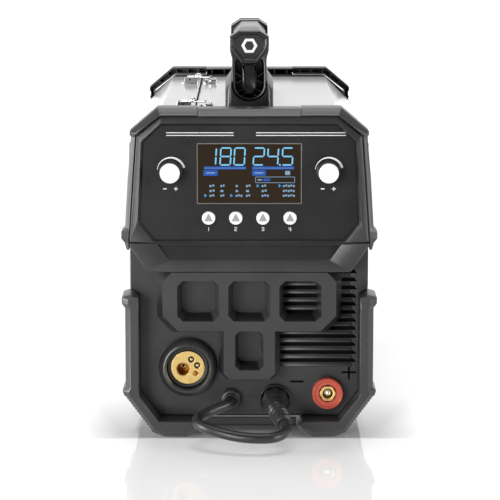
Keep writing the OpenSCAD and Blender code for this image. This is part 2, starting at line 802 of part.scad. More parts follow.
// lever with its pivot pin, lying over the catch
module latch_lever(y) {
    tip_x = -seam_x + 11;
    color("gainsboro") {
        rod_y(1.15, y - 7, y + 7, latch_pivot_x, latch_pivot_z);
        rod_y(2.6, y - 4.7, y + 4.7, latch_pivot_x, latch_pivot_z);
        block([latch_pivot_x, y - 4.5, latch_pivot_z + 0.9], [tip_x, y + 4.5, latch_pivot_z + 2.4]);
        translate([tip_x - 8, y, latch_pivot_z + 2])
        cylinder(h = 2, r = 4);
    }
}
module latch_lever_front() { latch_lever(latch_rows[0]); }
module latch_lever_rear() { latch_lever(latch_rows[1]); }

// ---- wire feed ----
// spindle on the dividing wall with back flange and retaining nut
module spool_hub() {
    x_in = spool_x + spool_w + 0.3;
    color("#303030") {
        rod_x(spool_bore_r - fit, spool_x - 3, x_in, spool_y, spool_z);
        rod_x(spool_bore_r + 8, x_in, -divider_x, spool_y, spool_z);
        rod_x(spool_bore_r + 6, spool_x - 9, spool_x - 0.6, spool_y, spool_z);
    }
}
// plastic spool: two flanges on a core
module wire_spool() {
    core = spool_bore_r + 4;
    color("#222222")
    translate([spool_x, spool_y, spool_z])
    rotate([0, 90, 0])
    rotate_extrude()
    polygon([[spool_bore_r, 0], [spool_r, 0], [spool_r, 3], [core, 3], [core, spool_w - 3],
        [spool_r, spool_w - 3], [spool_r, spool_w], [spool_bore_r, spool_w]]);
}
// wound wire between the flanges
module spool_wire() {
    color("peru")
    difference() {
        rod_x(spool_r - 9, spool_x + 3, spool_x + spool_w - 3, spool_y, spool_z);
        rod_x(spool_bore_r + 4, spool_x + 2, spool_x + spool_w - 2, spool_y, spool_z);
    }
}
// plate on four posts, with arm pivot and inlet guide
module feed_plate() {
    y0 = arm_pivot[0] - 10;
    y1 = arm_end + 8;
    color("dimgray")
    difference() {
        union() {
            block([plate_x, y0, drive_z - drive_r - 4], [plate_x + 5, y1, arm_pivot[1] + 8]);
            for (y = [y0 + 6, y1 - 6], z = [drive_z - drive_r + 3, arm_pivot[1]]) {
                rod_x(5, plate_x + 5, -divider_x, y, z);
            }
            rod_x(3, line_x - 4, plate_x, arm_pivot[0], arm_pivot[1]);
            block([line_x - 6, y1 - 10, line_z - 6], [plate_x, y1, line_z + 6]);
        }
        rod_y(1.2, y1 - 11, y1 + 1, line_x, line_z);
        rod_x(6, plate_x - 1, plate_x + 6, feed_y, drive_z);
    }
}
// motor with its shaft through the plate
module feed_motor() {
    color("silver") {
        rod_x(motor_r, plate_x + 5, 42, feed_y, drive_z);
        rod_x(4, line_x - 9, plate_x + 5, feed_y, drive_z);
    }
}
// grooved roll on the motor shaft
module drive_roll() {
    color("gainsboro")
    difference() {
        rod_x(drive_r, line_x - 5, line_x + 5, feed_y, drive_z);
        rod_x(4 + fit, line_x - 6, line_x + 6, feed_y, drive_z);
    }
}
// arm with the axle of the pressure roll and a seat for the tension screw
module pressure_arm() {
    x1 = plate_x - 0.4;
    x0 = line_x + 6;
    p = arm_pivot;
    color("#8a8a8a")
    difference() {
        union() {
            run_x([[p[0] - 6, p[1] - 6], [feed_y - 8, press_z - 7], [feed_y + 8, press_z - 7],
                [arm_end, p[1] - 6], [arm_end, p[1] + 4], [p[0] - 6, p[1] + 6]], x0, x1);
            rod_x(3, line_x - 6, x0, feed_y, press_z);
            block([line_x - 7, arm_end - 13, p[1] - 4], [x0, arm_end, p[1] + 4]);
        }
        rod_x(3 + fit, x0 - 1, x1 + 1, p[0], p[1]);
        translate([line_x, arm_end - 7, 0])
        cylinder(h = 300, r = 3 + fit);
    }
}
module pressure_roll() {
    color("gainsboro")
    difference() {
        rod_x(pressure_r, line_x - 5, line_x + 5, feed_y, press_z);
        rod_x(3 + fit, line_x - 6, line_x + 6, feed_y, press_z);
    }
}
// tension screw with its knob
module tension_knob() {
    translate([line_x, arm_end - 7, arm_pivot[1]])
    color("#d8a010") {
        translate([0, 0, -12])
        cylinder(h = 18, r = 3);
        translate([0, 0, 4.4])
        cylinder(h = 22, r = 8);
    }
}

// ---- power bay ----
// main board on four posts with three smoothing capacitors
module inverter_board() {
    color("darkgreen") {
        block([4, -165, board_z], [98, 150, board_z + board_t]);
        for (x = [10, 76], y = [-158, 144]) {
            translate([x, y, tray_z + sheet])
            cylinder(h = board_z - tray_z - sheet + 1, r = 4);
        }
        for (y = [-140, -100, -60]) {
            translate([30, y, board_z])
            cylinder(h = 50, r = 16);
        }
    }
}
// two finned heat sinks on the board
module heat_sinks() {
    color("silver")
    for (y = [-30, 65]) {
        difference() {
            block([16, y, board_z + board_t], [94, y + 80, board_z + 66]);
            for (i = [0 : 7]) {
                block([20 + i * 9.4, y - 1, board_z + board_t + 8], [24.5 + i * 9.4, y + 81, board_z + 67]);
            }
        }
    }
}
// main transformer and output choke on the tray
module magnetics() {
    z0 = tray_z + sheet;
    color("#5a4a30") {
        difference() {
            block([16, 40, z0], [80, 110, z0 + 60]);
            block([30, 39, z0 + 14], [38, 111, z0 + 46]);
            block([58, 39, z0 + 14], [66, 111, z0 + 46]);
        }
        translate([46, -20, z0])
        difference() {
            cylinder(h = 36, r = 34);
            translate([0, 0, -1])
            cylinder(h = 38, r = 13);
        }
    }
}

// ---- rear ----
// square fan frame with four struts and the bearing stub
module fan_frame() {
    y1 = rear_wall - mould_wall;
    y0 = y1 - fan_t;
    color("#1c1c1c") {
        difference() {
            block([fan_x - fan_half, y0, fan_z - fan_half], [fan_x + fan_half, y1, fan_z + fan_half]);
            rod_y(fan_r + 1.5, y0 - 1, y1 + 1, fan_x, fan_z);
        }
        for (a = [45, 135]) {
            translate([fan_x, y0 + 1.5, fan_z])
            rotate([0, a, 0])
            cube([2 * fan_r + 6, 3, 4], center = true);
        }
        rod_y(14, y0, y0 + 3, fan_x, fan_z);
        rod_y(2, y0, y1 - 4, fan_x, fan_z);
    }
}
// hub with pitched blades
module fan_rotor() {
    y0 = rear_wall - mould_wall - fan_t + 4;
    y1 = y0 + 18;
    color("#101010")
    difference() {
        union() {
            rod_y(16, y0, y1, fan_x, fan_z);
            intersection() {
                rod_y(fan_r, y0, y1, fan_x, fan_z);
                for (i = [0 : blades - 1]) {
                    translate([fan_x, (y0 + y1) / 2, fan_z])
                    rotate([0, i * 360 / blades, 0])
                    translate([fan_r / 2 + 6, 0, 0])
                    rotate([35, 0, 0])
                    cube([fan_r + 6, 1.6, 24], center = true);
                }
            }
        }
        rod_y(2 + fit, y0 - 1, y1 + 1, fan_x, fan_z);
    }
}
// switch body in the rear panel
module power_switch() {
    color("#101010")
    difference() {
        union() {
            block([switch_x - 10.7, rear_wall - 20, switch_z - 13.7],
                [switch_x + 10.7, rear_wall, switch_z + 13.7]);
            block([switch_x - 13, rear_wall, switch_z - 16],
                [switch_x + 13, rear_wall + 2, switch_z + 16]);
        }
        block([switch_x - 8.5, rear_wall - 14, switch_z - 11.5],
            [switch_x + 8.5, rear_wall + 3, switch_z + 11.5]);
    }
    color("#101010")
    rod_x(1.5, switch_x - 9, switch_x + 9, rear_wall - 2, switch_z);
}
// rocker, tilted to its off side
module power_rocker() {
    color("firebrick")
    difference() {
        translate([switch_x, rear_wall - 2, switch_z])
        rotate([10, 0, 0])
        block([-8.1, -3, -10], [8.1, 5, 10]);
        rod_x(1.5 + fit, switch_x - 10, switch_x + 10, rear_wall - 2, switch_z);
    }
}
// gland of the mains lead, closed and empty
module mains_gland() {
    color("#202020")
    turn_y([[4, rear_wall - mould_wall - 8], [7.7, rear_wall - mould_wall - 8], [7.7, rear_wall],
        [12, rear_wall], [12, rear_wall + 6], [10, rear_wall + 16], [4, rear_wall + 16]],
        fan_x, gland_rear_z);
}
// barbed gas nipple, standing out at the rear as far as the knobs at the front
module gas_inlet() {
    tip = rear + knob_l - panel_set;
    color("goldenrod")
    difference() {
        turn_y([[0, rear_wall - mould_wall - 14], [4.7, rear_wall - mould_wall - 14],
            [4.7, rear_wall], [8, rear_wall], [8, rear_wall + 6], [3.6, rear_wall + 6],
            [3.6, tip - 21], [4.6, tip - 21], [3.6, tip - 14], [4.6, tip - 14],
            [3.6, tip - 7], [4.6, tip - 7], [3.4, tip], [0, tip]], line_x, gland_rear_z);
        rod_y(1.8, rear_wall - mould_wall - 15, tip + 1, line_x, gland_rear_z);
    }
}

base_tray();
divider_wall();
main_cover();
rear_panel();
front_bezel();
front_housing();
front_grille();
control_panel();
display_lens();
control_board();
knob_left();
knob_right();
button_1();
button_2();
button_3();
button_4();
guard_front_upper_left();
guard_front_upper_right();
guard_front_lower_left();
guard_front_lower_right();
guards_rear();
top_bars();
frame_screws();
euro_collar();
euro_insulator();
euro_body();
red_socket();
red_socket_insert();
black_socket();
cable_gland();
polarity_lead();
lead_plug();
handle_base();
handle_front_leg();
handle_rear_leg();
handle_grip();
side_door();
door_hinges();
latch_bases();
latch_keepers();
latch_lever_front();
latch_lever_rear();
spool_hub();
wire_spool();
spool_wire();
feed_plate();
feed_motor();
drive_roll();
pressure_arm();
pressure_roll();
tension_knob();
inverter_board();
heat_sinks();
magnetics();
fan_frame();
fan_rotor();
power_switch();
power_rocker();
mains_gland();
gas_inlet();
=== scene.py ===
from math import pi, radians

import bmesh
import bpy
import numpy as np
from bpy.props import FloatProperty, FloatVectorProperty, IntProperty, PointerProperty, StringProperty
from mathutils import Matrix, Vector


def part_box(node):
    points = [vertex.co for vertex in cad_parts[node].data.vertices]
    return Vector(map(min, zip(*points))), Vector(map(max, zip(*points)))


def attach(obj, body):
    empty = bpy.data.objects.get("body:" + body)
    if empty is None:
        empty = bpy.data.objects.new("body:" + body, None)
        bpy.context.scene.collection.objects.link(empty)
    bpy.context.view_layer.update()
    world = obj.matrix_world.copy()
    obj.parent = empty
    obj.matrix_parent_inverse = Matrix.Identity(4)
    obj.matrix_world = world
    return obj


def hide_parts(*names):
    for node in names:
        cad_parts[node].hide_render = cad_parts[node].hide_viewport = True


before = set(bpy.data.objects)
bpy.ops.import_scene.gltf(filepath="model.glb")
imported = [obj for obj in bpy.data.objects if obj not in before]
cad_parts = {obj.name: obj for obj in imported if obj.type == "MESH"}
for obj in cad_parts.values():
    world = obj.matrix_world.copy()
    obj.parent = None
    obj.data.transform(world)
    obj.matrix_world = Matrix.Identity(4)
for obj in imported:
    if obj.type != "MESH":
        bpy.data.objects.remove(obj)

bl_info = {
    "name": "Wire-feed welder parts",
    "version": (1, 0, 0),
    "blender": (4, 5, 0),
    "location": "View3D > Sidebar > Welder",
    "description": "Builds the visible pieces of a portable wire-feed welder on its packed frame",
    "category": "Object",
}

MM = 0.001
FRONT = round(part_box("guard_front_upper_left")[0][1] / MM, 3)
REAR = -FRONT
WALL = FRONT + 26
PANEL = FRONT + 6
TOP = round(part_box("main_cover")[1][2] / MM, 3)
CHASSIS = "chassis"

# Places in millimetres that several pieces share; along a piece's own axis the place is 0
TORCH = (-56, 0, 61)
WIRE = (-60.5, 0, 59.5)
PINS = ((3, 7.5), (8.5, 2))
POSITIVE = (71.5, 0, 37)
LEAD_HOLE = (-17, 0, 31)
LEAD_RADIUS = 4.7
KNOB_X, KNOB_Z = 70.5, 243.0
BUTTON_STEP, BUTTON_Z = 24.3, 201.0
LATCHES = (("front", -146.0), ("rear", 104.0))
LATCH_PIN = (-61, 0, TOP + 4.2)
HANDLE_Y = -65
MAINS = (49, 0, 62)
GAS = (WIRE[0], 0, 62)
ROCKER = (51, 198, 245)
SPOOL = (0, 70, 150)
FEED_Y = -118

GLASS, PRINT, INK = PANEL - 0.02, PANEL - 0.01, 0.06
CAMERA, CAMERA_TILT, LENS = (0.0006, -2.252, 0.5096), 9.436, 165.286


# ---- shapes: all sizes in millimetres ----
class Shape:
    """Points and faces: the corners of all faces in one flat list, and how many corners each face has."""

    def __init__(self, points, corners, sizes):
        self.points = np.asarray(points, float).reshape(-1, 3)
        self.corners = np.asarray(corners, np.int64).ravel()
        self.sizes = np.asarray(sizes, np.int64).ravel()

    def __add__(self, other):
        corners = np.concatenate([self.corners, other.corners + len(self.points)])
        sizes = np.concatenate([self.sizes, other.sizes])
        return Shape(np.vstack([self.points, other.points]), corners, sizes)

    def moved(self, x=0.0, y=0.0, z=0.0):
        return Shape(self.points + (x, y, z), self.corners, self.sizes)

    def scaled(self, x=1.0, y=1.0, z=1.0):
        return Shape(self.points * (x, y, z), self.corners, self.sizes)

    def turned(self, axis, degrees, about=(0, 0, 0)):
        """Turned by the right-hand rule about an axis through a point."""
        a, b = {"x": (1, 2), "y": (2, 0), "z": (0, 1)}[axis]
        p = self.points - about
        c, s = np.cos(radians(degrees)), np.sin(radians(degrees))
        q = p.copy()
        q[:, a] = c * p[:, a] - s * p[:, b]
        q[:, b] = s * p[:, a] + c * p[:, b]
        return Shape(q + about, self.corners, self.sizes)


def together(shapes):
    """One shape out of several."""
    first, *rest = shapes
    return sum(rest, first)


def mirrored(shape):
    """The shape and its mirror image across x = 0."""
    return shape + shape.scaled(x=-1)


def surface(p, rows=False):
    """Quads between neighbouring rows of a grid of points whose columns close; its rows may close too."""
    r, c = p.shape[:2]
    i, j = np.meshgrid(np.arange(r if rows else r - 1), np.arange(c), indexing="ij")
    i2, j2 = (i + 1) % r, (j + 1) % c
    quads = np.stack([i * c + j, i * c + j2, i2 * c + j2, i2 * c + j], -1)
    return Shape(p, quads, np.full(i.size, 4))


def solid(rings):
    """Closed rings joined one to the next, with a flat face over the first and the last."""
    side = surface(rings)
    n = rings.shape[1]
    last = rings.shape[0] * n - n
    caps = np.concatenate([np.arange(n)[::-1], last + np.arange(n)])
    return Shape(side.points, np.concatenate([side.corners, caps]), np.concatenate([side.sizes, [n, n]]))


def matched(outer, inner, places):
    """A half ring between outer and inner points that pair up, closed by strips at its first and last place."""
    inner = np.broadcast_to(inner, outer.shape)
    p = stood(np.concatenate([outer, inner[:, ::-1]], axis=1), places, "y")
    n = outer.shape[1]
    k = np.arange(n - 1)
    side = surface(p)
    ends = [np.stack([f + k, f + k + 1, f + 2 * n - 2 - k, f + 2 * n - 1 - k], -1).ravel()
            for f in (0, (len(p) - 1) * 2 * n)]
    corners = np.concatenate([side.corners, *ends])
    return Shape(side.points, corners, np.concatenate([side.sizes, np.full(2 * n - 2, 4)]))


def mitre(p, closed=True):
    """At each corner of an outline drawn anticlockwise, the step inwards that moves both its sides by one:
    the sum of the two side normals over one plus their product."""
    e = np.roll(p, -1, 0) - p
    e /= np.maximum(np.linalg.norm(e, axis=1, keepdims=True), 1e-9)
    n = np.stack([-e[:, 1], e[:, 0]], 1)
    before = np.roll(n, 1, 0)
    if not closed:
        before[0], n[-1] = n[0], before[-1]
    return (n + before) / (1 + (n * before).sum(1, keepdims=True)).clip(0.15)


def rounded(points, radius, steps=3, closed=True):
    """Each corner P gives way to the curve (1-t)^2 A + 2t(1-t) P + t^2 B between the two points A and B
    where a circle of that radius touches its sides."""
    p = np.asarray(points, float)
    a, b = np.roll(p, 1, 0) - p, np.roll(p, -1, 0) - p
    la, lb = (np.linalg.norm(v, axis=1, keepdims=True) for v in (a, b))
    a, b = a / la, b / lb
    half = np.arccos((a * b).sum(1, keepdims=True).clip(-1, 1)) / 2
    r = np.broadcast_to(np.asarray(radius, float).reshape(-1, 1), la.shape)
    reach = np.minimum(r / np.tan(half).clip(1e-6), 0.48 * np.minimum(la, lb))
    t = np.linspace(0, 1, steps + 1)[None, :, None]
    start, end = (p + reach * a)[:, None], (p + reach * b)[:, None]
    c = start * (1 - t) ** 2 + 2 * t * (1 - t) * p[:, None] + end * t**2
    if closed:
        return c.reshape(-1, 2)
    return np.vstack([p[:1], c[1:-1].reshape(-1, 2), p[-1:]])


def eased(start, end, r, steps=3):
    """Places and insets along an edge that a quarter circle of radius r rounds at each end."""
    t = np.linspace(0, pi / 2, steps + 1)
    s = np.sign(end - start)
    first = np.stack([start + s * r * (1 - np.cos(t)), r * (1 - np.sin(t))], 1)
    last = np.stack([end - s * r * (1 - np.cos(t)), r * (1 - np.sin(t))], 1)[::-1]
    return np.vstack([first, last])


def dome(radius, height, place, power=1.0, steps=5):
    """Profile of a cap: radius times cos t to a power, height times sin t beyond its place."""
    t = np.linspace(0, pi / 2, steps)
    return np.stack([radius * np.cos(t) ** power, place + height * np.sin(t)], 1)


def stood(flat, places, axis):
    """Flat rings set at their places along an axis: a pair is (x, z) for y, (y, z) for x, (x, y) for z."""
    at = np.broadcast_to(np.asarray(places, float)[:, None], flat.shape[:2])
    a, b = flat[..., 0], flat[..., 1]
    return np.stack({"x": (at, a, b), "y": (a, at, b), "z": (a, b, at)}[axis], -1)


def rings_along(rings, axis="y"):
    """Rings of points from (outline, place) pairs."""
    return stood(np.stack([r for r, _ in rings]), [place for _, place in rings], axis)


def hoop(outer, inner, start, end):
    """A flat ring between two outlines, from start to end along y."""
    return surface(rings_along([(outer, start), (outer, end), (inner, end), (inner, start)]), rows=True)


def stepped(outline, places):
    """For each (place, inset) the outline with its corners moved inwards by the inset, and the place."""
    p = np.asarray(outline, float)
    inwards = mitre(p)
    return [(p + inset * inwards, place) for place, inset in places]


def prism(outline, places, axis="y"):
    """An outline carried along an axis through its (place, inset) steps."""
    return solid(rings_along(stepped(outline, places), axis))


def lathe(profile, centre=(0, 0, 0), axis="y", sides=64, ring=False, wave=0.0, teeth=0):
    """A profile of (radius, place along the axis) turned round an axis through the centre;
    teeth ripple the radius by 1 + wave cos(teeth angle)."""
    r, h = np.asarray(profile, float).T
    t = np.linspace(0, 2 * pi, sides, endpoint=False)
    k = 1 + np.broadcast_to(np.asarray(wave, float).reshape(-1, 1), (len(r), 1)) * np.cos(teeth * t)
    flat = np.stack([r[:, None] * k * np.cos(t), r[:, None] * k * np.sin(t)], -1)
    p = stood(flat, h, axis) + np.asarray(centre, float)
    return surface(p, rows=True) if ring else solid(p)


def circle(angles):
    """Points of the unit circle."""
    return np.stack([np.cos(angles), np.sin(angles)], -1)


def rectangle(a0, a1, b0, b1):
    return np.array([[a0, b0], [a1, b0], [a1, b1], [a0, b1]], float)


def strut(a, b, half):
    """The rectangle round the line between two points."""
    a, b = np.array(a), np.array(b)
    n = np.array([-(b - a)[1], (b - a)[0]]) / np.linalg.norm(b - a) * half
    return np.array([a - n, b - n, b + n, a + n])


def block(low, high, r=0.4, axis="z", corner=None):
    """A box with eased edges."""
    k = "xyz".index(axis)
    a, b = [i for i in range(3) if i != k]
    outline = rounded(rectangle(low[a], high[a], low[b], high[b]), corner or r, 3)
    return prism(outline, eased(low[k], high[k], r, 2), axis)


def rod(a, b, radius, centre, r=0.3, sides=32):
    """A cylinder along y with eased rims."""
    places = eased(a, b, r, 2)
    profile = np.stack([radius - places[:, 1], places[:, 0]], 1)
    return lathe(np.vstack([[0, a], profile, [0, b]]), centre, "y", sides)


def smooth_line(points, steps):
    """A curve through all the points: each stretch is the cubic whose slope at a point is half the way
    between its neighbours."""
    p = np.asarray(points, float)
    q = np.vstack([p[:1], p, p[-1:]])
    a, b, c, d = (q[i:len(q) - 3 + i, None] for i in range(4))
    t = np.linspace(0, 1, steps, endpoint=False)[None, :, None]
    s = 0.5 * (2 * b + (c - a) * t + (2 * a - 5 * b + 4 * c - d) * t**2 + (3 * b - a - 3 * c + d) * t**3)
    return np.vstack([s.reshape(-1, 3), p[-1:]])


def tube(path, radius, sides, wave=0.0, teeth=0):
    """Rings square to a path, first point upwards; teeth ripple the radius."""
    p = np.asarray(path, float)
    t = np.gradient(p, axis=0)
    t /= np.linalg.norm(t, axis=1, keepdims=True)
    s = np.cross(t, (0, 0, 1))
    s /= np.linalg.norm(s, axis=1, keepdims=True)
    u = np.cross(s, t)
    a = np.linspace(0, 2 * pi, sides, endpoint=False)[None, :, None]
    r, w = (np.broadcast_to(np.asarray(v, float).reshape(-1, 1, 1), (len(p), 1, 1)) for v in (radius, wave))
    return solid(p[:, None] + r * (1 + w * np.cos(teeth * a)) * (np.cos(a) * u[:, None] + np.sin(a) * s[:, None]))


def both_halves(right):
    """A symmetric outline from its right half, drawn anticlockwise from the bottom."""
    right = np.asarray(right, float)
    return np.vstack([right, (right * (-1, 1))[::-1]])


# ---- placing pieces ----
def shade(mesh, angle):
    """Smooth faces, with edges sharper than the angle left sharp."""
    mesh.polygons.foreach_set("use_smooth", np.ones(len(mesh.polygons), bool))
    mesh.set_sharp_from_angle(angle=radians(angle))


def seat(name, mesh, material, node, body):
    """The object of a mesh, on its body, with its material; it replaces a CAD node if one is named."""
    piece = bpy.data.objects.new(name, mesh)
    bpy.context.scene.collection.objects.link(piece)
    mesh.materials.clear()
    mesh.materials.append(MATERIALS[material])
    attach(piece, body)
    if node:
        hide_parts(node)
    return piece


def put(name, shape, material, node=None, body=CHASSIS, smooth=32):
    """Makes a piece out of a shape, welds it, turns its faces outwards and lets it ride on a body."""
    mesh = bpy.data.meshes.new(name)
    mesh.vertices.add(len(shape.points))
    mesh.vertices.foreach_set("co", (shape.points * MM).ravel())
    mesh.loops.add(len(shape.corners))
    mesh.loops.foreach_set("vertex_index", shape.corners)
    mesh.polygons.add(len(shape.sizes))
    mesh.polygons.foreach_set("loop_start", np.concatenate([[0], np.cumsum(shape.sizes)[:-1]]))
    mesh.update(calc_edges=True)
    mesh.validate()
    bm = bmesh.new()
    bm.from_mesh(mesh)
    bmesh.ops.remove_doubles(bm, verts=bm.verts, dist=2e-6)
    bmesh.ops.dissolve_degenerate(bm, dist=1e-6, edges=bm.edges)
    bmesh.ops.recalc_face_normals(bm, faces=bm.faces)
    bm.to_mesh(mesh)
    bm.free()
    shade(mesh, smooth)
    return seat(name, mesh, material, node, body)


def eased_copy(name, node, material, width, segments=2, body=CHASSIS):
    """A welded copy of a CAD node with flat faces joined and its edges rounded by a Bevel modifier."""
    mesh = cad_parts[node].data.copy()
    mesh.name = name
    bm = bmesh.new()
    bm.from_mesh(mesh)
    bmesh.ops.remove_doubles(bm, verts=bm.verts, dist=1e-5)
    bmesh.ops.dissolve_limit(bm, angle_limit=radians(0.5), verts=bm.verts, edges=bm.edges)
    bm.to_mesh(mesh)
    bm.free()
    angle = 25
    shade(mesh, angle)
    bevel = seat(name, mesh, material, node, body).modifiers.new("Edges", "BEVEL")
    bevel.width = width * MM
    bevel.segments = segments
    bevel.limit_method = "ANGLE"
    bevel.angle_limit = radians(angle)
    bevel.harden_normals = True


def finish_node(node, material):
    """Gives a CAD node that stays a better material."""
    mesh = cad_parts[node].data
    mesh.materials.clear()
    mesh.materials.append(MATERIALS[material])


# ---- materials ----
MATERIALS, SLOTS, GROUPS = {}, {}, {}
RESULTS = (("Color", "Color", "Base Color"), ("Roughness", "Float", "Roughness"), ("Normal", "Vector", "Normal"))


def node_group(name, inputs):
    """A new group that puts out RESULTS; its inputs are (name, type, default)."""
    g = bpy.data.node_groups.new(name, "ShaderNodeTree")
    for label, kind, default in inputs:
        s = g.interface.new_socket(label, in_out="INPUT", socket_type="NodeSocket" + kind)
        if default is not None:
            s.default_value = default
    for label, kind, _ in RESULTS:
        g.interface.new_socket(label, in_out="OUTPUT", socket_type="NodeSocket" + kind)
    return g, g.nodes.new("NodeGroupInput").outputs


def put_out(g, *values):
    """Links a group's values to its outputs, in the order of RESULTS."""
    ends = g.nodes.new("NodeGroupOutput").inputs
    for i, value in enumerate(values):
        g.links.new(value, ends[i])
    return g


def add(tree, kind, inputs=(), **settings):
    """A shader node: its settings, and (input, value) pairs whose value is a constant or another output."""
    n = tree.nodes.new("ShaderNode" + kind)
    for key, value in settings.items():
        setattr(n, key, value)
    for key, value in inputs:
        if isinstance(value, bpy.types.NodeSocket):
            tree.links.new(value, n.inputs[key])
        else:
            n.inputs[key].default_value = value
    return n


def calc(tree, operation, *values):
    return add(tree, "Math", enumerate(values), operation=operation).outputs[0]


def mix(tree, factor, a, b, **settings):
    return add(tree, "Mix", ((0, factor), (6, a), (7, b)), data_type="RGBA", **settings).outputs[2]


def remap(tree, value, low, high, to_low=0.0, to_high=1.0, **settings):
    ends = (("Value", value), ("From Min", low), ("From Max", high), ("To Min", to_low), ("To Max", to_high))
    return add(tree, "MapRange", ends, **settings).outputs[0]


def noise(tree, place, scale, detail):
    return add(tree, "TexNoise", (("Vector", place), ("Scale", scale), ("Detail", detail))).outputs["Fac"]


def bump(tree, height, strength, distance):
    ends = (("Height", height), ("Strength", strength), ("Distance", distance))
    return add(tree, "Bump", ends).outputs[0]


def make_skin():
    """Moulded skin: a fine noise bump, and a broad noise that lightens the colour and changes the roughness
    a little, as handling does."""
    g, i = node_group("Moulded skin", (
        ("Color", "Color", (0.03, 0.03, 0.03, 1)), ("Haze", "Float", 0.3), ("Roughness", "Float", 0.45),
        ("Spread", "Float", 0.12), ("Grain size", "Float", 1800.0), ("Grain depth", "Float", 0.25)))
    place = add(g, "TexCoord").outputs["Object"]
    fine = noise(g, place, i["Grain size"], 2.0)
    broad = noise(g, place, 26.0, 4.0)
    hazy = remap(g, broad, 0.35, 0.75, 0.0, i["Haze"])
    color = mix(g, hazy, i["Color"], (0.03, 0.03, 0.032, 1), blend_type="ADD")
    rough = calc(g, "MULTIPLY_ADD", calc(g, "SUBTRACT", broad, 0.5), i["Spread"], i["Roughness"])
    return put_out(g, color, rough, bump(g, fine, i["Grain depth"], 0.0002))


def make_turned():
    """Turned metal: fine rings round the piece's own axis, got from noise along the distance to that axis,
    with a few tarnish clouds."""
    g, i = node_group("Turned rings", (("Vector", "Vector", None), ("Color", "Color", (0.8, 0.6, 0.3, 1)),
                                       ("Tarnish", "Color", (0.5, 0.3, 0.1, 1)), ("Rings", "Float", 5000.0),
                                       ("Roughness", "Float", 0.25), ("Depth", "Float", 0.3)))
    flat = add(g, "VectorMath", ((0, i["Vector"]), (1, (1, 0, 1))), operation="MULTIPLY").outputs[0]
    away = add(g, "VectorMath", ((0, flat),), operation="LENGTH").outputs["Value"]
    ends = (("W", calc(g, "MULTIPLY", away, i["Rings"])), ("Scale", 1.0), ("Detail", 2.0))
    rings = add(g, "TexNoise", ends, noise_dimensions="1D").outputs["Fac"]
    cloud = remap(g, noise(g, i["Vector"], 180.0, 4.0), 0.45, 0.8, 0.0, 0.3)
    rough = calc(g, "MULTIPLY_ADD", cloud, 0.25, i["Roughness"])
    return put_out(g, mix(g, cloud, i["Color"], i["Tarnish"]), rough, bump(g, rings, i["Depth"], 0.00005))


def socket_value(value):
    return (*value, 1) if isinstance(value, tuple) and len(value) == 3 else value


def blank(name, slot, **sockets):
    """A new material for a slot, with its Principled shader's own sockets set."""
    m = bpy.data.materials.new(name)
    m.use_nodes = True
    shader = m.node_tree.nodes["Principled BSDF"]
    for key, value in sockets.items():
        shader.inputs[key.replace("_", " ")].default_value = socket_value(value)
    MATERIALS[name], SLOTS[name] = m, slot
    return m.node_tree, shader


def place_group(tree, shader, kind, **values):
    n = tree.nodes.new("ShaderNodeGroup")
    n.node_tree = GROUPS[kind]
    for key, value in values.items():
        n.inputs[key.replace("_", " ")].default_value = socket_value(value)
    for out, _, name in RESULTS:
        tree.links.new(n.outputs[out], shader.inputs[name])
    return n


def moulded(name, slot, color, roughness, size=1800.0, depth=0.25, haze=0.3, spread=0.12, **sockets):
    place_group(*blank(name, slot, **sockets), "skin", Color=tuple(color), Haze=haze, Roughness=roughness,
                Spread=spread, Grain_size=size, Grain_depth=depth)


def turned(name, color, tarnish, centre):
    """Brass turned round an axis along y through the centre."""
    tree, shader = blank(name, "brass", Metallic=1.0)
    n = place_group(tree, shader, "turned", Color=color, Tarnish=tarnish, Roughness=0.22, Rings=5000.0, Depth=0.3)
    place = add(tree, "TexCoord").outputs["Object"]
    shift = add(tree, "Mapping", (("Vector", place), ("Location", [-c * MM for c in centre]))).outputs[0]
    tree.links.new(shift, n.inputs["Vector"])


def glowing(name, color):
    """Lit display ink whose brightness varies a little from place to place."""
    tree, shader = blank(name, "display", Base_Color=(0.01, 0.012, 0.016), Roughness=0.5, Emission_Strength=1.0,
                         Specular_IOR_Level=0.1)
    dim, bright = ((*(min(1, c * k) for c in color), 1) for k in (0.85, 1.15))
    place = add(tree, "TexCoord").outputs["Object"]
    tree.links.new(mix(tree, noise(tree, place, 350.0, 1.0), dim, bright), shader.inputs["Emission Color"])


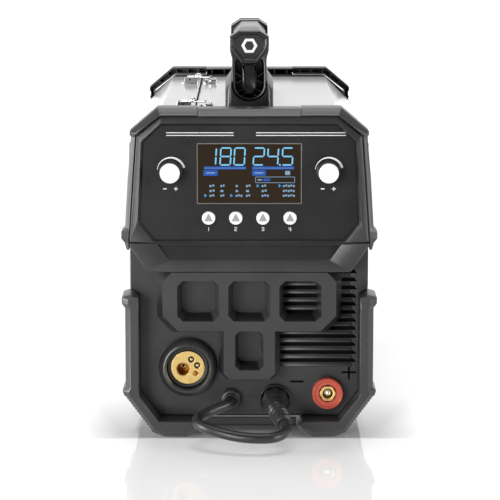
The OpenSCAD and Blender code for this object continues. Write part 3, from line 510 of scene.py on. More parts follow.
def make_materials(s):
    GROUPS.update(skin=make_skin(), turned=make_turned())
    moulded("Guard plastic", "guard_plastic", s.guard_color, 0.32, 1500.0, 0.25)
    moulded("Housing plastic", "housing_plastic", s.housing_color, 0.34, 1700.0, 0.25)
    moulded("Panel film", "panel_black", s.panel_color, 0.38, 1100.0, 0.5, haze=0.25, spread=0.2,
            Specular_IOR_Level=0.24)
    moulded("Cover paint", "cover_paint", s.cover_color, 0.14, 500.0, 0.05, haze=0.4, spread=0.05,
            Specular_IOR_Level=0.2)
    moulded("Primer", "grey_steel", (0.16, 0.16, 0.165), 0.6, 900.0, 0.2)
    moulded("Black moulding", "black_plastic", (0.007, 0.007, 0.007), 0.4, 1500.0, 0.2, haze=0.1)
    # Near-black sheet that barely reflects: painted shade, put in hollows where only shade falls
    moulded("Painted shade sheet", "panel_black", (0.004, 0.004, 0.004), 0.7, 1500.0, 0.2, haze=0.1,
            Specular_IOR_Level=0.1)
    moulded("Handle plastic", "handle_plastic", s.handle_color, 0.28, 1600.0, 0.2, haze=0.15)
    moulded("Grip rubber", "grip_rubber", (0.02, 0.02, 0.021), 0.2, 1300.0, 0.2)
    moulded("Lead rubber", "cable_rubber", s.lead_color, 0.36, 700.0, 0.25)
    moulded("White plastic", "white_plastic", (0.86, 0.86, 0.86), 0.35, 1500.0, 0.08, haze=0.0)
    moulded("Red plastic", "red_plastic", s.red_color, 0.3, 1300.0, 0.15)
    moulded("Black screw", "screw_steel", (0.02, 0.02, 0.021), 0.35, 2200.0, 0.2)
    moulded("Amber plastic", "knob_amber", (0.72, 0.36, 0.02), 0.35, 1500.0, 0.1)
    moulded("Board lacquer", "circuit_board", (0.012, 0.10, 0.035), 0.3, 1500.0, 0.15)
    moulded("Varnished winding", "magnetic_core", (0.16, 0.07, 0.02), 0.35, 900.0, 0.6)
    moulded("White ink", "white_plastic", (0.85, 0.85, 0.85), 0.5, 2500.0, 0.1, haze=0.0)
    moulded("Grey ink", "white_plastic", (0.32, 0.32, 0.33), 0.5, 2500.0, 0.1, haze=0.0)
    moulded("Black ink", "panel_black", (0.001, 0.001, 0.001), 0.8, 2500.0, 0.1, haze=0.0, Specular_IOR_Level=0.05)
    moulded("Bright plate", "zinc", (0.56, 0.56, 0.57), 0.2, 420.0, 0.3, haze=0.0, spread=0.2, Metallic=1.0)
    moulded("Steel", "roll_steel", (0.55, 0.55, 0.56), 0.3, 1500.0, 0.2, Metallic=1.0)
    moulded("Cast aluminium", "feeder_metal", (0.62, 0.62, 0.63), 0.42, 900.0, 0.4, Metallic=1.0)
    moulded("Copper wire", "wire_copper", (0.80, 0.36, 0.19), 0.28, 1500.0, 0.2, Metallic=1.0)
    moulded("Knob cap", "knob_metal", (0.88, 0.88, 0.88), 0.3, 1500.0, 0.08, haze=0.0)
    turned("Torch brass", (0.80, 0.57, 0.22), (0.50, 0.30, 0.08), TORCH)
    # Darker, rougher, less metallic copy of the brass for the inside of the wire bore: painted shade in the hole
    moulded("Bore brass with painted shade", "brass", (0.50, 0.22, 0.03), 0.45, 1500.0, 0.2, haze=0.0, Metallic=0.6)
    moulded("Bright pin", "zinc", (0.80, 0.80, 0.79), 0.3, 1500.0, 0.1, haze=0.0, Metallic=0.6)
    turned("Socket brass", (0.80, 0.57, 0.22), (0.50, 0.30, 0.08), POSITIVE)
    turned("Nipple brass", (0.84, 0.64, 0.3), (0.5, 0.32, 0.1), GAS)
    moulded("Display base", "display", (0.012, 0.007, 0.003), 0.12, 2500.0, 0.05, haze=0.0, spread=0.05,
            Specular_IOR_Level=0.15, Emission_Color=(0.012, 0.007, 0.003), Emission_Strength=1.0)
    glowing("Digit light", s.digit_color)
    glowing("Blue light", (0.015, 0.09, 0.42))
    glowing("Pale light", (0.22, 0.38, 0.56))
    glowing("Arrow light", (0.03, 0.35, 0.75))
    moulded("Window edge", "display", (0.16, 0.15, 0.14), 0.35, 2200.0, 0.1, haze=0.0)
    moulded("Collar plastic", "housing_plastic", (0.040, 0.040, 0.041), 0.24, 1700.0, 0.15)
    moulded("Spool plastic", "black_plastic", (0.022, 0.022, 0.023), 0.4, 1300.0, 0.2)


# ---- user settings ----
def color_setting(name, text, value):
    return FloatVectorProperty(name=name, description="Colour of the " + text, default=value, subtype="COLOR",
                               min=0.0, max=1.0)


def power_setting(name, text, watts):
    return FloatProperty(name=name, description="Power of the " + text, default=watts, min=0.0, unit="POWER")


class WelderSettings(bpy.types.PropertyGroup):
    """Sizes and colours that can be changed before the pieces are built."""

    guard_color: color_setting("Guards", "corner guards", (0.032, 0.032, 0.033))
    housing_color: color_setting("Housing", "front and rear mouldings", (0.026, 0.026, 0.027))
    panel_color: color_setting("Panel", "control panel film", (0.012, 0.012, 0.013))
    cover_color: color_setting("Cover", "cover and door paint", (0.55, 0.55, 0.56))
    handle_color: color_setting("Handle", "carry handle", (0.011, 0.011, 0.012))
    lead_color: color_setting("Lead", "polarity lead and its plug", (0.014, 0.014, 0.015))
    red_color: color_setting("Positive socket", "positive output socket", (0.62, 0.10, 0.058))
    digit_color: color_setting("Digits", "lit display digits", (0.22, 0.62, 1.0))
    edge: FloatProperty(name="Lattice edge", description="Rounding of the lattice guard's edges", default=0.00112,
                        min=0.0003, max=0.0024, unit="LENGTH", precision=5)
    ribs: IntProperty(name="Guard ribs", description="Number of grip ribs on each lower corner", default=13,
                      min=6, max=20)
    knurls: IntProperty(name="Knob knurls", description="Number of ridges round each knob", default=26,
                        min=12, max=48)
    left_reading: StringProperty(name="Left reading", description="Number shown on the left of the display",
                                 default="180")
    right_reading: StringProperty(name="Right reading", description="Number shown on the right of the display",
                                  default="24.5")
    side_power: power_setting("Side light", "low lamp at the left", 54.0)
    front_power: power_setting("Front light", "low lamp left of the front", 42.0)
    fill_power: power_setting("Fill light", "lamp at the right", 34.0)
    top_power: power_setting("Top light", "lamp overhead", 28.0)


# ---- stage ----
class WELDER_OT_stage(bpy.types.Operator):
    """Camera, soft studio lights, white surroundings and the floor"""

    bl_idname = "welder.stage"
    bl_label = "Stage"

    def execute(self, context):
        scene = context.scene
        s = scene.welder
        scene.view_settings.view_transform = "Standard"
        data = bpy.data.cameras.new("Camera")
        data.sensor_width = 36
        data.lens = LENS
        data.clip_end = 100
        scene.camera = self.stand("Camera", data, CAMERA, (90 - CAMERA_TILT, 0, 0))
        for name, size, power, place, tilt in (
            ("Side", 1.2, s.side_power, (-2.5, -0.6, 0.62), (82, 0, -76)),
            ("Front", 1.0, s.front_power, (-1.3, -2.6, 0.52), (84, 0, -26.5)),
            ("Fill", 1.2, s.fill_power, (2.2, -1.3, 0.7), (80, 0, 60)),
            ("Overhead", 1.5, s.top_power, (0.0, 0.1, 2.4), (0, 0, 0)),
        ):
            lamp = bpy.data.lights.new(name, "AREA")
            lamp.shape = "SQUARE"
            lamp.size = size
            lamp.energy = power
            lamp.use_shadow = True
            self.stand(name, lamp, place, tilt)
        self.surroundings(scene)
        self.floor()
        return {"FINISHED"}

    def stand(self, name, data, place, tilt):
        """An object at a place in metres, tilted by degrees about x, y and z."""
        o = bpy.data.objects.new(name, data)
        o.location = place
        o.rotation_euler = [radians(t) for t in tilt]
        bpy.context.scene.collection.objects.link(o)
        return o

    def surroundings(self, scene):
        """White where the camera looks; for the object a soft room, bright behind and above, dim in front."""
        scene.world = scene.world or bpy.data.worlds.new("World")
        scene.world.use_nodes = True
        t = scene.world.node_tree
        t.nodes.clear()
        way = add(t, "SeparateXYZ", ((0, add(t, "TexCoord").outputs["Generated"]),)).outputs
        depth = remap(t, way["Y"], -0.4, 0.75, 0.12, 1.1, interpolation_type="SMOOTHSTEP")
        soft, room, white = (add(t, "Background", (("Color", c), ("Strength", k))).outputs[0]
                             for c, k in ((depth, 0.5), (depth, 1.0), ((1, 1, 1, 1), 1.0)))
        ray = add(t, "LightPath").outputs
        inside = add(t, "MixShader", ((0, ray["Is Glossy Ray"]), (1, soft), (2, room))).outputs[0]
        seen = calc(t, "MAXIMUM", ray["Is Camera Ray"], ray["Is Transmission Ray"])
        last = add(t, "MixShader", ((0, seen), (1, inside), (2, white))).outputs[0]
        t.links.new(last, t.nodes.new("ShaderNodeOutputWorld").inputs[0])

    def floor(self):
        """A pale glossy sheet under the machine that runs far behind it; for the camera it whitens ahead of
        the machine, beside it, behind it and far away, and mirrored rays find it a little brighter."""
        mesh = bpy.data.meshes.new("Floor")
        low = -0.0002
        mesh.from_pydata([(-12, -4, low), (12, -4, low), (12, 26, low), (-12, 26, low)], [], [(0, 1, 2, 3)])
        o = self.stand("Floor", mesh, (0, 0, 0), (0, 0, 0))
        t, shader = blank("Floor sheet", None, Base_Color=(0.72, 0.72, 0.72), IOR=1.4)
        place = add(t, "TexCoord").outputs["Object"]
        rough = remap(t, noise(t, place, 3.0, 2.0), 0.0, 1.0, 0.0, 0.015)
        t.links.new(rough, shader.inputs["Roughness"])
        part = add(t, "SeparateXYZ", ((0, place),)).outputs
        line = FRONT * MM
        ahead, patch, mirrored_ray = 0.26, 0.3, 0.4
        glow = remap(t, part["Y"], line - 0.001, line + 0.001, ahead, 0.0)
        away = add(t, "VectorMath", ((0, place),), operation="LENGTH").outputs["Value"]
        for white in (remap(t, calc(t, "ABSOLUTE", part["X"]), 0.118, 0.155, 0.0, patch),
                      remap(t, part["Y"], -0.19, -0.06, 0.0, patch), remap(t, away, 1.2, 2.6)):
            glow = calc(t, "MAXIMUM", glow, white)
        ray = add(t, "LightPath").outputs
        seen = calc(t, "MULTIPLY", ray["Is Camera Ray"], glow)
        total = calc(t, "MULTIPLY_ADD", ray["Is Glossy Ray"], mirrored_ray, seen)
        shine = add(t, "Emission", (("Color", (1, 1, 1, 1)), ("Strength", total))).outputs[0]
        both = add(t, "AddShader", ((0, shader.outputs[0]), (1, shine))).outputs[0]
        t.links.new(both, t.nodes["Material Output"].inputs["Surface"])
        mesh.materials.append(MATERIALS["Floor sheet"])


# ---- polarity lead ----
class WELDER_OT_lead(bpy.types.Operator):
    """Polarity lead with its ribbed plug and the ring gland it leaves through"""

    bl_idname = "welder.lead"
    bl_label = "Polarity lead"

    def execute(self, context):
        route = np.array([
            [-17, -212, 31], [-17, -217, 31], [-21, -223, 30], [-30, -230, 28], [-40, -239, 25.5],
            [-46, -250, 24], [-46, -262, 22.5], [-39, -272.6, 21], [-26, -280.4, 18.5], [-10, -285.3, 16],
            [6, -287.2, 15], [20, -285.2, 15], [29, -277.4, 16], [33, -267, 17.8], [31, -258, 20.5]], float)
        lead = put("polarity_lead_cover", tube(smooth_line(route, 8), LEAD_RADIUS, 28), "Lead rubber",
                   "polarity_lead")
        plug = self.plug()
        ring = [[4.75, -206], [4.75, -211.2], [5.1, -212], [6.0, -212], [6.6, -211.2], [6.7, -208.2], [8.2, -208],
                [9.2, -206.8], [9.8, -204.6], [9.8, -200.1], [4.75, -200.1]]
        put("lead_gland", lathe(rounded(ring, 0.5, 3), LEAD_HOLE, "y", 56, ring=True), "Housing plastic",
            "cable_gland")
        return {"FINISHED"}

    def plug(self):
        """Radius along a bent axis: a fluted barrel, a shoulder, then a tapering boot with four ribs."""
        line = smooth_line([[23.5, -201.4, 30.5], [23.5, -210, 30.5], [23.5, -220, 30.5], [24.2, -230, 29.2],
                            [26.4, -241, 26.2], [29, -250.5, 23], [31, -258, 20.5]], 14)
        run = np.concatenate([[0], np.cumsum(np.linalg.norm(np.diff(line, axis=0), axis=1))])
        radius = np.interp(run, [0, 0.8, 3, 15, 17, 21.5, 24, 30, 33, 36, 59],
                           [11.6, 12.2, 12.2, 12.0, 11.6, 10.6, 9.6, 9.0, 8.4, 8.0, 6.4])
        ribs = np.clip(np.cos((run - 37.5) * 2 * pi / 5.2) * 3.0, -0.5, 0.8) * ((run > 34.5) & (run < 57.5))
        flutes = 0.05 * np.clip((run - 2.5) / 2, 0, 1) * np.clip((17 - run) / 2, 0, 1)
        radius = np.minimum(radius + ribs, np.where(run > 30, 8.6, 12.6))
        body = tube(line, radius, 96, wave=flutes, teeth=8)
        return put("lead_plug_body", body, "Lead rubber", "lead_plug", smooth=50)


# ---- corner guards ----
class WELDER_OT_guards(bpy.types.Operator):
    """Corner guards with slanted front edges, nibs, grip ribs and the bars between them"""

    bl_idname = "welder.guards"
    bl_label = "Corner guards"

    def execute(self, context):
        s = context.scene.welder
        m = "Guard plastic"
        upper, lower = self.upper(), self.lower(s)
        for side, k in (("left", -1), ("right", 1)):
            put(f"upper_guard_{side}", upper.scaled(x=k), m, f"guard_front_upper_{side}")
            put(f"lower_guard_{side}", lower.scaled(x=k), m, f"guard_front_lower_{side}")
        rear = mirrored((self.upper(hollow=True) + self.stiffeners() + lower).scaled(y=-1))
        put("rear_guards", rear, m, "guards_rear")
        put("guard_bars", self.bar() + self.rear_bar(), m, "top_bars")
        # A near-black floor and wall in the rear bar's hollow: painted shade
        floor = block((-46, REAR - 27.9, 292.6), (46, REAR - 5.9, 293.1), 0.1)
        wall = block((-46, REAR - 6.3, 292.8), (46, REAR - 5.9, 297.7), 0.1)
        put("bar_painted_shade", floor + wall, "Painted shade sheet")
        self.screws()
        return {"FINISHED"}

    def upper(self, hollow=False):
        """Every outer corner has a partner on the inner wall; at each depth the outer one stands a share of
        the way out from it. Below the top corner the front edge steps back: the first 9 of depth shrink by
        the share 0.55."""
        outer = [[46.3, 300], [82, 300], [106.7, 279.2], [106.7, 275.6], [105.5, 273.8], [108.75, 236],
                 [111.5, 192], [115, 188.2], [115, 182], [112, 178.4], [110.2, 172]]
        inner = [[46.3, 292.75], [79.2, 292.75], [100.95, 275.9], [101.0, 275], [101.1, 273.8], [103.9, 236],
                 [106.85, 192], [107.1, 188.2], [107.5, 182], [107.75, 178.4], [107.9, 172.05]]
        steps = 4
        o = rounded(outer, [0, 2.5, 2, 1, 1, 6, 1.5, 1.8, 1.8, 1.5, 0], steps, closed=False)
        i = rounded(inner, [0, 2, 0.5, 0, 0, 6, 1, 1, 1, 1, 0], steps, closed=False)
        share = [(0, 0.17), (0.3, 0.2), (1.3, 0.35), (5.3, 0.93), (5.9, 0.985), (6.8, 1.0)]
        share += [(28, 1.0), (28, 0.78), (13, 0.78)] if hollow else [(27.6, 1.0), (28, 0.93)]
        rings = np.stack([i + (o - i) * w for _, w in share])
        walls = np.stack([i] * len(rings))
        walls[:2] = i + (o - i) * np.array([0.14, 0.11])[:, None, None]
        if hollow:
            walls[-2:] = i + (o - i) * 0.22
        shape = matched(rings, walls, [FRONT + depth for depth, _ in share])
        y, z = shape.points[:, 1], shape.points[:, 2]
        behind, less, top = FRONT + 9, 0.55, 277
        near = np.minimum(y, behind)
        step = (behind - near) * less * np.clip((top - z) / 3, 0, 1)
        shape.points[:, 1] = near + step + np.maximum(y - behind, 0)
        return shape

    def stiffeners(self):
        """Thin webs across the hollow at even steps along the guard."""
        a = np.array([[54, 292.9], [66, 292.9], [77, 292.9], [85, 288.3], [93, 281.8], [101.1, 268], [102.3, 252],
                      [103.6, 236], [104.8, 220], [105.9, 204]])
        b = np.array([[54, 299.8], [66, 299.8], [79, 299.8], [88, 294.6], [98, 286.3], [106.6, 268.6],
                      [107.7, 252.6], [108.7, 236.6], [109.7, 220.6], [110.7, 204.6]])
        d = b - a
        n = np.stack([-d[:, 1], d[:, 0]], 1) / np.linalg.norm(d, axis=1, keepdims=True) * 0.45
        quads = np.stack([a - n, a + n, b + n, b - n], 1)
        return together([solid(stood(np.stack([q, q]), [FRONT + 13, FRONT + 27.2], "y")) for q in quads])

    def lower(self, s):
        """As the upper one, with small zigzag ribs that fade in behind the slanted edge of the corner."""
        count = 2 * s.ribs + 1
        t = np.linspace(0.05, 0.95, count)[:, None]
        a, b = np.array([88.0, 4.0]), np.array([114.0, 39.3])
        c, d = np.array([81.6, 15.0]), np.array([99.6, 38.8])
        back = np.array([-(b - a)[1], (b - a)[0]]) / np.linalg.norm(b - a) * 0.9
        outer = np.vstack([[[44.4, 9.4], [46, 6.4], [57, 0], [77, 0], a], a + (b - a) * t,
                           [b, [115, 43], [112, 46], [112, 119], [115, 123], [115, 129], [108.3, 131]]])
        inner = np.vstack([[[48, 15], [50, 15], [59, 15], [73, 15], c], c + (d - c) * t,
                           [d, [99.6, 42], [99.6, 46], [99.6, 119], [99.6, 122.5], [99.6, 126], [99.6, 128.9]]])
        radius = [0, 1.5, 2, 2, 1.5, *[0.2] * count, 1, 1.6, 1.2, 1.2, 1.8, 1.8, 0]
        steps = 3
        o = rounded(outer, radius, steps, closed=False)
        i = rounded(inner, np.where(np.array(radius) > 1, 1.0, 0.0), steps, closed=False)
        notch = np.zeros(len(outer))
        notch[5:5 + count] = np.where(np.arange(count) % 2, 1.0, 0.0)
        notch = np.repeat(notch, steps + 1)[steps:len(o) + steps]
        share = np.array([(FRONT, 0.6), (FRONT + 0.35, 0.635), (FRONT + 1.1, 0.69), (FRONT + 4.6, 0.94),
                          (FRONT + 5.2, 0.98), (FRONT + 6, 1.0), (FRONT + 37.6, 1.0), (FRONT + 38, 0.97)])
        fade = np.clip((share[:, 1] - 0.6) / 0.4, 0, 1)
        rings = i + (o - i) * share[:, 1, None, None] + fade[:, None, None] * notch[:, None] * back
        walls = i + (o - i) * np.array([0.07, 0.035, 0, 0, 0, 0, 0, 0])[:, None, None]
        return matched(rings, walls, share[:, 0])

    def bar(self):
        """Flat bar whose front edge slants like the guards' but a little lower."""
        rings = [(0.1, 0.5), (0.5, 0.9), (5.2, 5.5), (5.8, 6.15), (6.6, 6.35), (27.9, 6.35)]
        flat = [rectangle(-45.7, 45.7, 292.75, 292.75 + h) for _, h in rings]
        return solid(stood(np.stack(flat), [FRONT + depth for depth, _ in rings], "y"))

    def rear_bar(self):
        """Hollow bar: a top sheet, a rear wall and thin webs between them."""
        sheet = block((-46.3, REAR - 27.9, 297.7), (46.3, REAR - 0.5, 299.1), 0.4, "x")
        wall = block((-46.3, REAR - 6, 292.75), (46.3, REAR - 0.3, 298.6), 0.9, "x")
        webs = [block((x - 0.45, REAR - 27.2, 292.8), (x + 0.45, REAR - 5.5, 298), 0.1)
                for x in np.linspace(-40, 40, 7)]
        return together([sheet, wall, *webs])

    def screws(self):
        """Pan heads with a round socket."""
        head = [[0, 0.0], [3.4, 0.0], [3.4, 0.5], [3.0, 1.0], [2.2, 1.3], [1.5, 1.3], [1.4, 0.4], [0, 0.4]]
        one = lathe(head, axis="z", sides=36)
        tops = together([one.scaled(z=0.6).moved(0, y, 299.1) for y in (FRONT + 14, REAR - 14)])
        side = one.turned("y", 90)
        back = one.turned("x", -90)
        sides = together([side.moved(108, y, z) for y in (-162, 162) for z in (60, 240)])
        backs = together([back.moved(x, -WALL, z) for x in (-90, 90) for z in (60, 240)])
        put("pan_screws", tops + sides + backs, "Black screw", "frame_screws")


# ---- front mouldings ----
class WELDER_OT_front(bpy.types.Operator):
    """Bezel with its sloping border and groove, lower wall with louvres, and the lattice guard"""

    bl_idname = "welder.front"
    bl_label = "Front mouldings"

    def execute(self, context):
        m = "Housing plastic"
        edge = context.scene.welder.edge / MM
        put("bezel", self.border() + self.apron(), m, "front_bezel")
        eased_copy("lower_wall", "front_housing", m, 0.5)
        put("louvre_lips", self.lips(), m)
        # A near-black sheet behind the louvre slots: painted shade that hides the lit parts inside
        shade_sheet = block((12, WALL + 4.1, 60), (95, WALL + 4.6, 152), 0.1)
        put("louvre_painted_shade", shade_sheet, "Painted shade sheet")
        eased_copy("lattice_guard", "front_grille", m, edge, 3)
        return {"FINISHED"}

    def border(self):
        """Rings from the outer outline over the slightly tilted border and down its step to the panel, closed
        behind."""
        outer = both_halves([[106.4, 178.7], [107.5, 180], [103.5, 236], [100.5, 275], [79, 292.5]])
        inner = both_halves([[84.5, 181], [98, 197.5], [96, 235], [94.5, 269], [78, 284.5]])
        steps = 4
        turn = np.array([0.3, 0.5, 6, 1.5, 1.5])
        o = rounded(outer, np.concatenate([turn, turn[::-1]]), steps)
        i = rounded(inner, np.tile([2.5, 2.5, 6, 2.5, 2.5], 2), steps)
        rings = stepped(o, [(WALL, 0), (FRONT + 5.2, 0), (FRONT + 4.3, 0.2), (FRONT + 3.7, 0.6),
                            (FRONT + 3.4, 1.1)])
        rings += stepped(i, [(FRONT + 2.5, -2.3), (FRONT + 2.65, -2.0), (PANEL - 0.7, -0.5), (PANEL - 0.1, -0.15),
                             (PANEL + 1.9, 0)])
        rings += stepped(o, [(PANEL + 4, 3), (WALL, 3)])
        return surface(rings_along(rings), rows=True)

    def apron(self):
        """Bar below the panel with a groove whose floor rises from its deep top edge to the bar's face: y goes
        with z."""
        outer = np.array([[-91, 152.1], [91, 152.1], [107.5, 176], [107.3, 178.7], [-107.3, 178.7], [-107.5, 176]])
        groove = np.array([[-72, 163.4], [72, 163.4], [82.3, 177.2], [82.2, 177.4], [-82.2, 177.4], [-82.3, 177.2]])
        o = rounded(outer, [1.5, 1.5, 1.2, 0.1, 0.1, 1.2], 3)
        g = rounded(groove, [1.2, 1.2, 0.1, 0.1, 0.1, 0.1], 3)
        rings = stepped(o, [(WALL, 0), (FRONT + 3.4, 0), (FRONT + 2.5, 0.35), (FRONT + 2.05, 1.0)])
        rings += stepped(g, [(FRONT + 2.0, -0.5), (FRONT + 2.3, 0), (FRONT + 7.9, 0.4)])
        p = rings_along(rings)
        p[-1, :, 1] = FRONT + 2.5 + 5.6 * (p[-1, :, 2] - 163.4) / 14
        return solid(p)

    def lips(self):
        """Twelve wedges over the strips between the slots, each growing from nothing at its slot's lower edge."""
        section = np.array([[0.8, -1.5], [0.0, -1.72], [-0.25, -2.4], [-1.35, -4.7], [-1.3, -5.2], [-0.9, -5.5],
                            [0.0, -5.75], [0.8, -5.6]])[::-1]
        flat = [np.where(section[:, :1] < 0, section * (k, 1), section) + (WALL, 0) for k in (0.2, 1, 1, 0.2)]
        one = solid(stood(np.stack(flat), np.array([15.5, 16.6, 92.6, 93.4]), "x"))
        slots, pitch = 12, 7.5
        return together([one.moved(z=149 - pitch * k) for k in range(slots)])


# ---- control panel ----
class WELDER_OT_panel(bpy.types.Operator):
    """Panel film, lit display with plain readings, printed marks, knobs and buttons"""

    bl_idname = "welder.panel"
    bl_label = "Control panel"

    def execute(self, context):
        s = context.scene.welder
        finish_node("control_panel", "Panel film")
        finish_node("control_board", "Board lacquer")
        self.display(s)
        self.marks()
        self.knob("left", -KNOB_X, s.knurls)
        self.knob("right", KNOB_X, s.knurls)
        for i in range(4):
            self.button(i, (i - 1.5) * BUTTON_STEP)
        return {"FINISHED"}

    def display(self, s):
        steps = [(PANEL + 1.5, 0), (GLASS + 0.3, 0), (GLASS + 0.05, 0.25)]
        glass = prism(rounded(rectangle(-45.8, 45.8, 214.7, 267.3), 0.6), steps)
        put("display_window", glass, "Display base", "display_lens")
        o = rounded(rectangle(-46.9, 46.9, 213.6, 268.4), 0.8)
        i = rounded(rectangle(-46.0, 46.0, 214.5, 267.5), 0.5)
        rings = stepped(o, [(PANEL, 0), (PANEL - 0.3, 0.15)]) + stepped(i, [(PANEL - 0.25, 0), (PANEL, 0)])
        put("display_frame", surface(rings_along(rings), rows=True), "Window edge")
        digits = [self.number(s.left_reading, (-39.4, -26.2, -13.8)),
                  self.number(s.right_reading, (3.4, 16.0, 29.0))]
        put("display_digits", together(digits), "Digit light")
        bars = ((-40.5, -2.9, 244.8, 247.4), (2.4, 40.0, 244.8, 247.4), (-41.0, -28.2, 239.0, 244.2, 1.2),
                (2.4, 14.8, 239.0, 244.2, 1.2), (12.5, 18.6, 234.2, 236.6, 0.3))
        put("display_bars", together([self.plate(*bar) for bar in bars]), "Blue light")
        put("display_signs", together(self.signs()), "Pale light")
        arrows = ((-40.2, 221.2), (-17.0, 221.2), (6.6, 230.0), (26.2, 230.0))
        put("display_arrows", together([self.arrow(x, z) for x, z in arrows]), "Arrow light")

    def plate(self, x0, x1, z0, z1, r=0.2, y=GLASS):
        """A flat printed sign with rounded corners."""
        return prism(rounded(rectangle(x0, x1, z0, z1), r, 3), [(y, 0), (y - INK, 0)])

    def arrow(self, x, z, size=1.6):
        return prism([[x, z - size], [x + 1.5 * size, z], [x, z + size]], [(GLASS, 0), (GLASS - INK, 0)])

    def signs(self):
        """Ticks along the bars, an outlined box, and rows of plain strokes in place of words."""
        y = GLASS - INK
        ticks, pitch, wide = 24, 1.52, 0.62
        out = [self.plate(a + i * pitch, a + i * pitch + wide, 245.6, 246.3, 0.05, y) for a in (-39.6, 3.3)
               for i in range(ticks)]
        o = rounded(rectangle(5.3, 40.7, 232.6, 238.2), 0.9)
        i = rounded(rectangle(5.75, 40.25, 233.05, 237.75), 0.6)
        out.append(hoop(o, i, GLASS, y))
        boxes = ((-38.6, -30.6, 241.1, 242.1, 0.2, y), (4.6, 12.4, 241.1, 242.1, 0.2, y), (7.2, 11.4, 234.8, 236.0),
                 (32.0, 36.4, 239.8, 243.4, 0.3))
        out += [self.plate(*box) for box in boxes]
        rows = ((230.0, (5.0, 4.2, 2.6, 4.6, 4.6, 11.2)), (225.5, (5.4, 3.6, 3.0, 3.8, 5.2, 11.0)),
                (221.2, (5.0, 4.0, 6.6, 4.4, 7.0, 11.4)))
        starts = (-35.6, -25.8, -12.2, -3.0, 11.0, 30.0)
        for z, widths in rows:
            for a, w in zip(starts, widths):
                n = max(1, int(w / 2.0))
                step = w / n
                out += [self.plate(a + k * step, a + (k + 0.72) * step, z - 1.15 + 0.5 * (k % 2),
                                   z + 1.15 - 0.4 * ((k + 1) % 2), 0.15) for k in range(n)]
        return out

    def number(self, text, starts):
        """Seven-segment digits: each segment is a bar with pointed ends between two corners of the digit,
        leaning 3 degrees."""
        lit = {"0": "abcdef", "1": "bc", "2": "abged", "3": "abgcd", "4": "fgbc", "5": "afgcd", "6": "afgedc",
               "7": "abc", "8": "abcdefg", "9": "abcdfg"}
        z0, h, w, r = 248.8, 15.2, 9.2, 0.66
        corner = {"a": (0, 2, 1, 2), "b": (1, 2, 1, 1), "c": (1, 1, 1, 0), "d": (0, 0, 1, 0), "e": (0, 1, 0, 0),
                  "f": (0, 2, 0, 1), "g": (0, 1, 1, 1)}
        out = []
        places = iter(starts)
        x = starts[0]
        for sign in text:
            if sign == ".":
                out.append(self.plate(x + w + 1.3, x + w + 2.8, z0 - 0.7, z0 + 0.8, 0.3))
                continue
            x = next(places)
            for key in lit[sign]:
                a, b, c, d = corner[key]
                p, q = np.array([a * w, b * h / 2]), np.array([c * w, d * h / 2])
                t = (q - p) / np.linalg.norm(q - p)
                n = np.array([-t[1], t[0]]) * r
                p, q = p + t * 0.28, q - t * 0.28
                bar = np.array([p, p + t * r - n, q - t * r - n, q, q - t * r + n, p + t * r + n])
                bar += (x, z0)
                bar[:, 0] += 0.06 * (bar[:, 1] - z0)
                out.append(prism(bar, [(GLASS, 0), (GLASS - INK, 0)]))
        return together(out)

    def marks(self):
        """Tapered arcs round the knobs, plus and minus below them, numbers below the buttons and two pinstripes."""
        out = []
        for x in (-KNOB_X, KNOB_X):
            start, count = 11.6, 36
            ring = circle(np.radians(np.linspace(172, 14, count)))
            ends = start + 2.2 * np.linspace(0.12, 1.0, count) ** 0.8
            arc = np.vstack([ring * start, (ring * ends[:, None])[::-1]]) + (x, KNOB_Z)
            out.append(prism(arc, [(PRINT, 0), (PRINT - 0.05, 0)]))
            out += [self.plate(x + a, x + b, c, d, 0.1, PRINT) for a, b, c, d in (
                (-6.6, -3.4, 226.8, 227.7), (3.2, 6.6, 226.8, 227.7), (4.45, 5.35, 225.55, 228.95))]
        numbers = (
            [(0, 0, 0, 3)],
            [(-1, 3, 1, 3), (1, 3, 1, 1.5), (-1, 1.5, 1, 1.5), (-1, 1.5, -1, 0), (-1, 0, 1, 0)],
            [(-1, 3, 1, 3), (1, 3, 1, 0), (-0.6, 1.5, 1, 1.5), (-1, 0, 1, 0)],
            [(-1, 3, -1, 1.3), (-1, 1.3, 1.1, 1.3), (0.5, 3, 0.5, 0)],
        )
        foot, half = 189.4, 0.25
        for i, strokes in enumerate(numbers):
            x = (i - 1.5) * BUTTON_STEP
            for a, b, c, d in strokes:
                out.append(self.plate(x + min(a, c) - half, x + max(a, c) + half, foot + min(b, d) - half,
                                      foot + max(b, d) + half, 0.05, PRINT))
        for x0, x1 in ((-74, -14), (6, 86)):
            out += [self.plate(x0, x1, z, z + 0.7, 0.1, PRINT) for z in (277.3, 274.9)]
        put("panel_print", together(out), "White ink")

    def knob(self, side, x, knurls):
        """Dark knurled skirt with a bright flat cap set into it."""
        skirt = [[0, -220.6], [10.2, -220.6], [10.5, -221.0], [10.4, -222.6], [9.6, -223.4], [9.5, -224.2],
                 [9.35, -233.2], [9.0, -233.9], [8.2, -234.1], [8.1, -233.6], [0, -233.6]]
        wave = [0, 0, 0, 0, 0, 0.03, 0.03, 0.02, 0, 0, 0]
        body, centre = f"knob_{side}", (x, 0, KNOB_Z)
        put(f"knob_skirt_{side}", lathe(skirt, centre, "y", knurls * 8, wave=wave, teeth=knurls), "Black moulding",
            body, body)
        cap = [[0, -233.5], [8.85, -233.5], [8.9, -234.4], [8.6, -234.8], [8.1, -234.95], [0.8, -234.9],
               [0, -234.9]]
        put(f"knob_cap_{side}", lathe(cap, centre, "y", 72), "Knob cap", body=body)

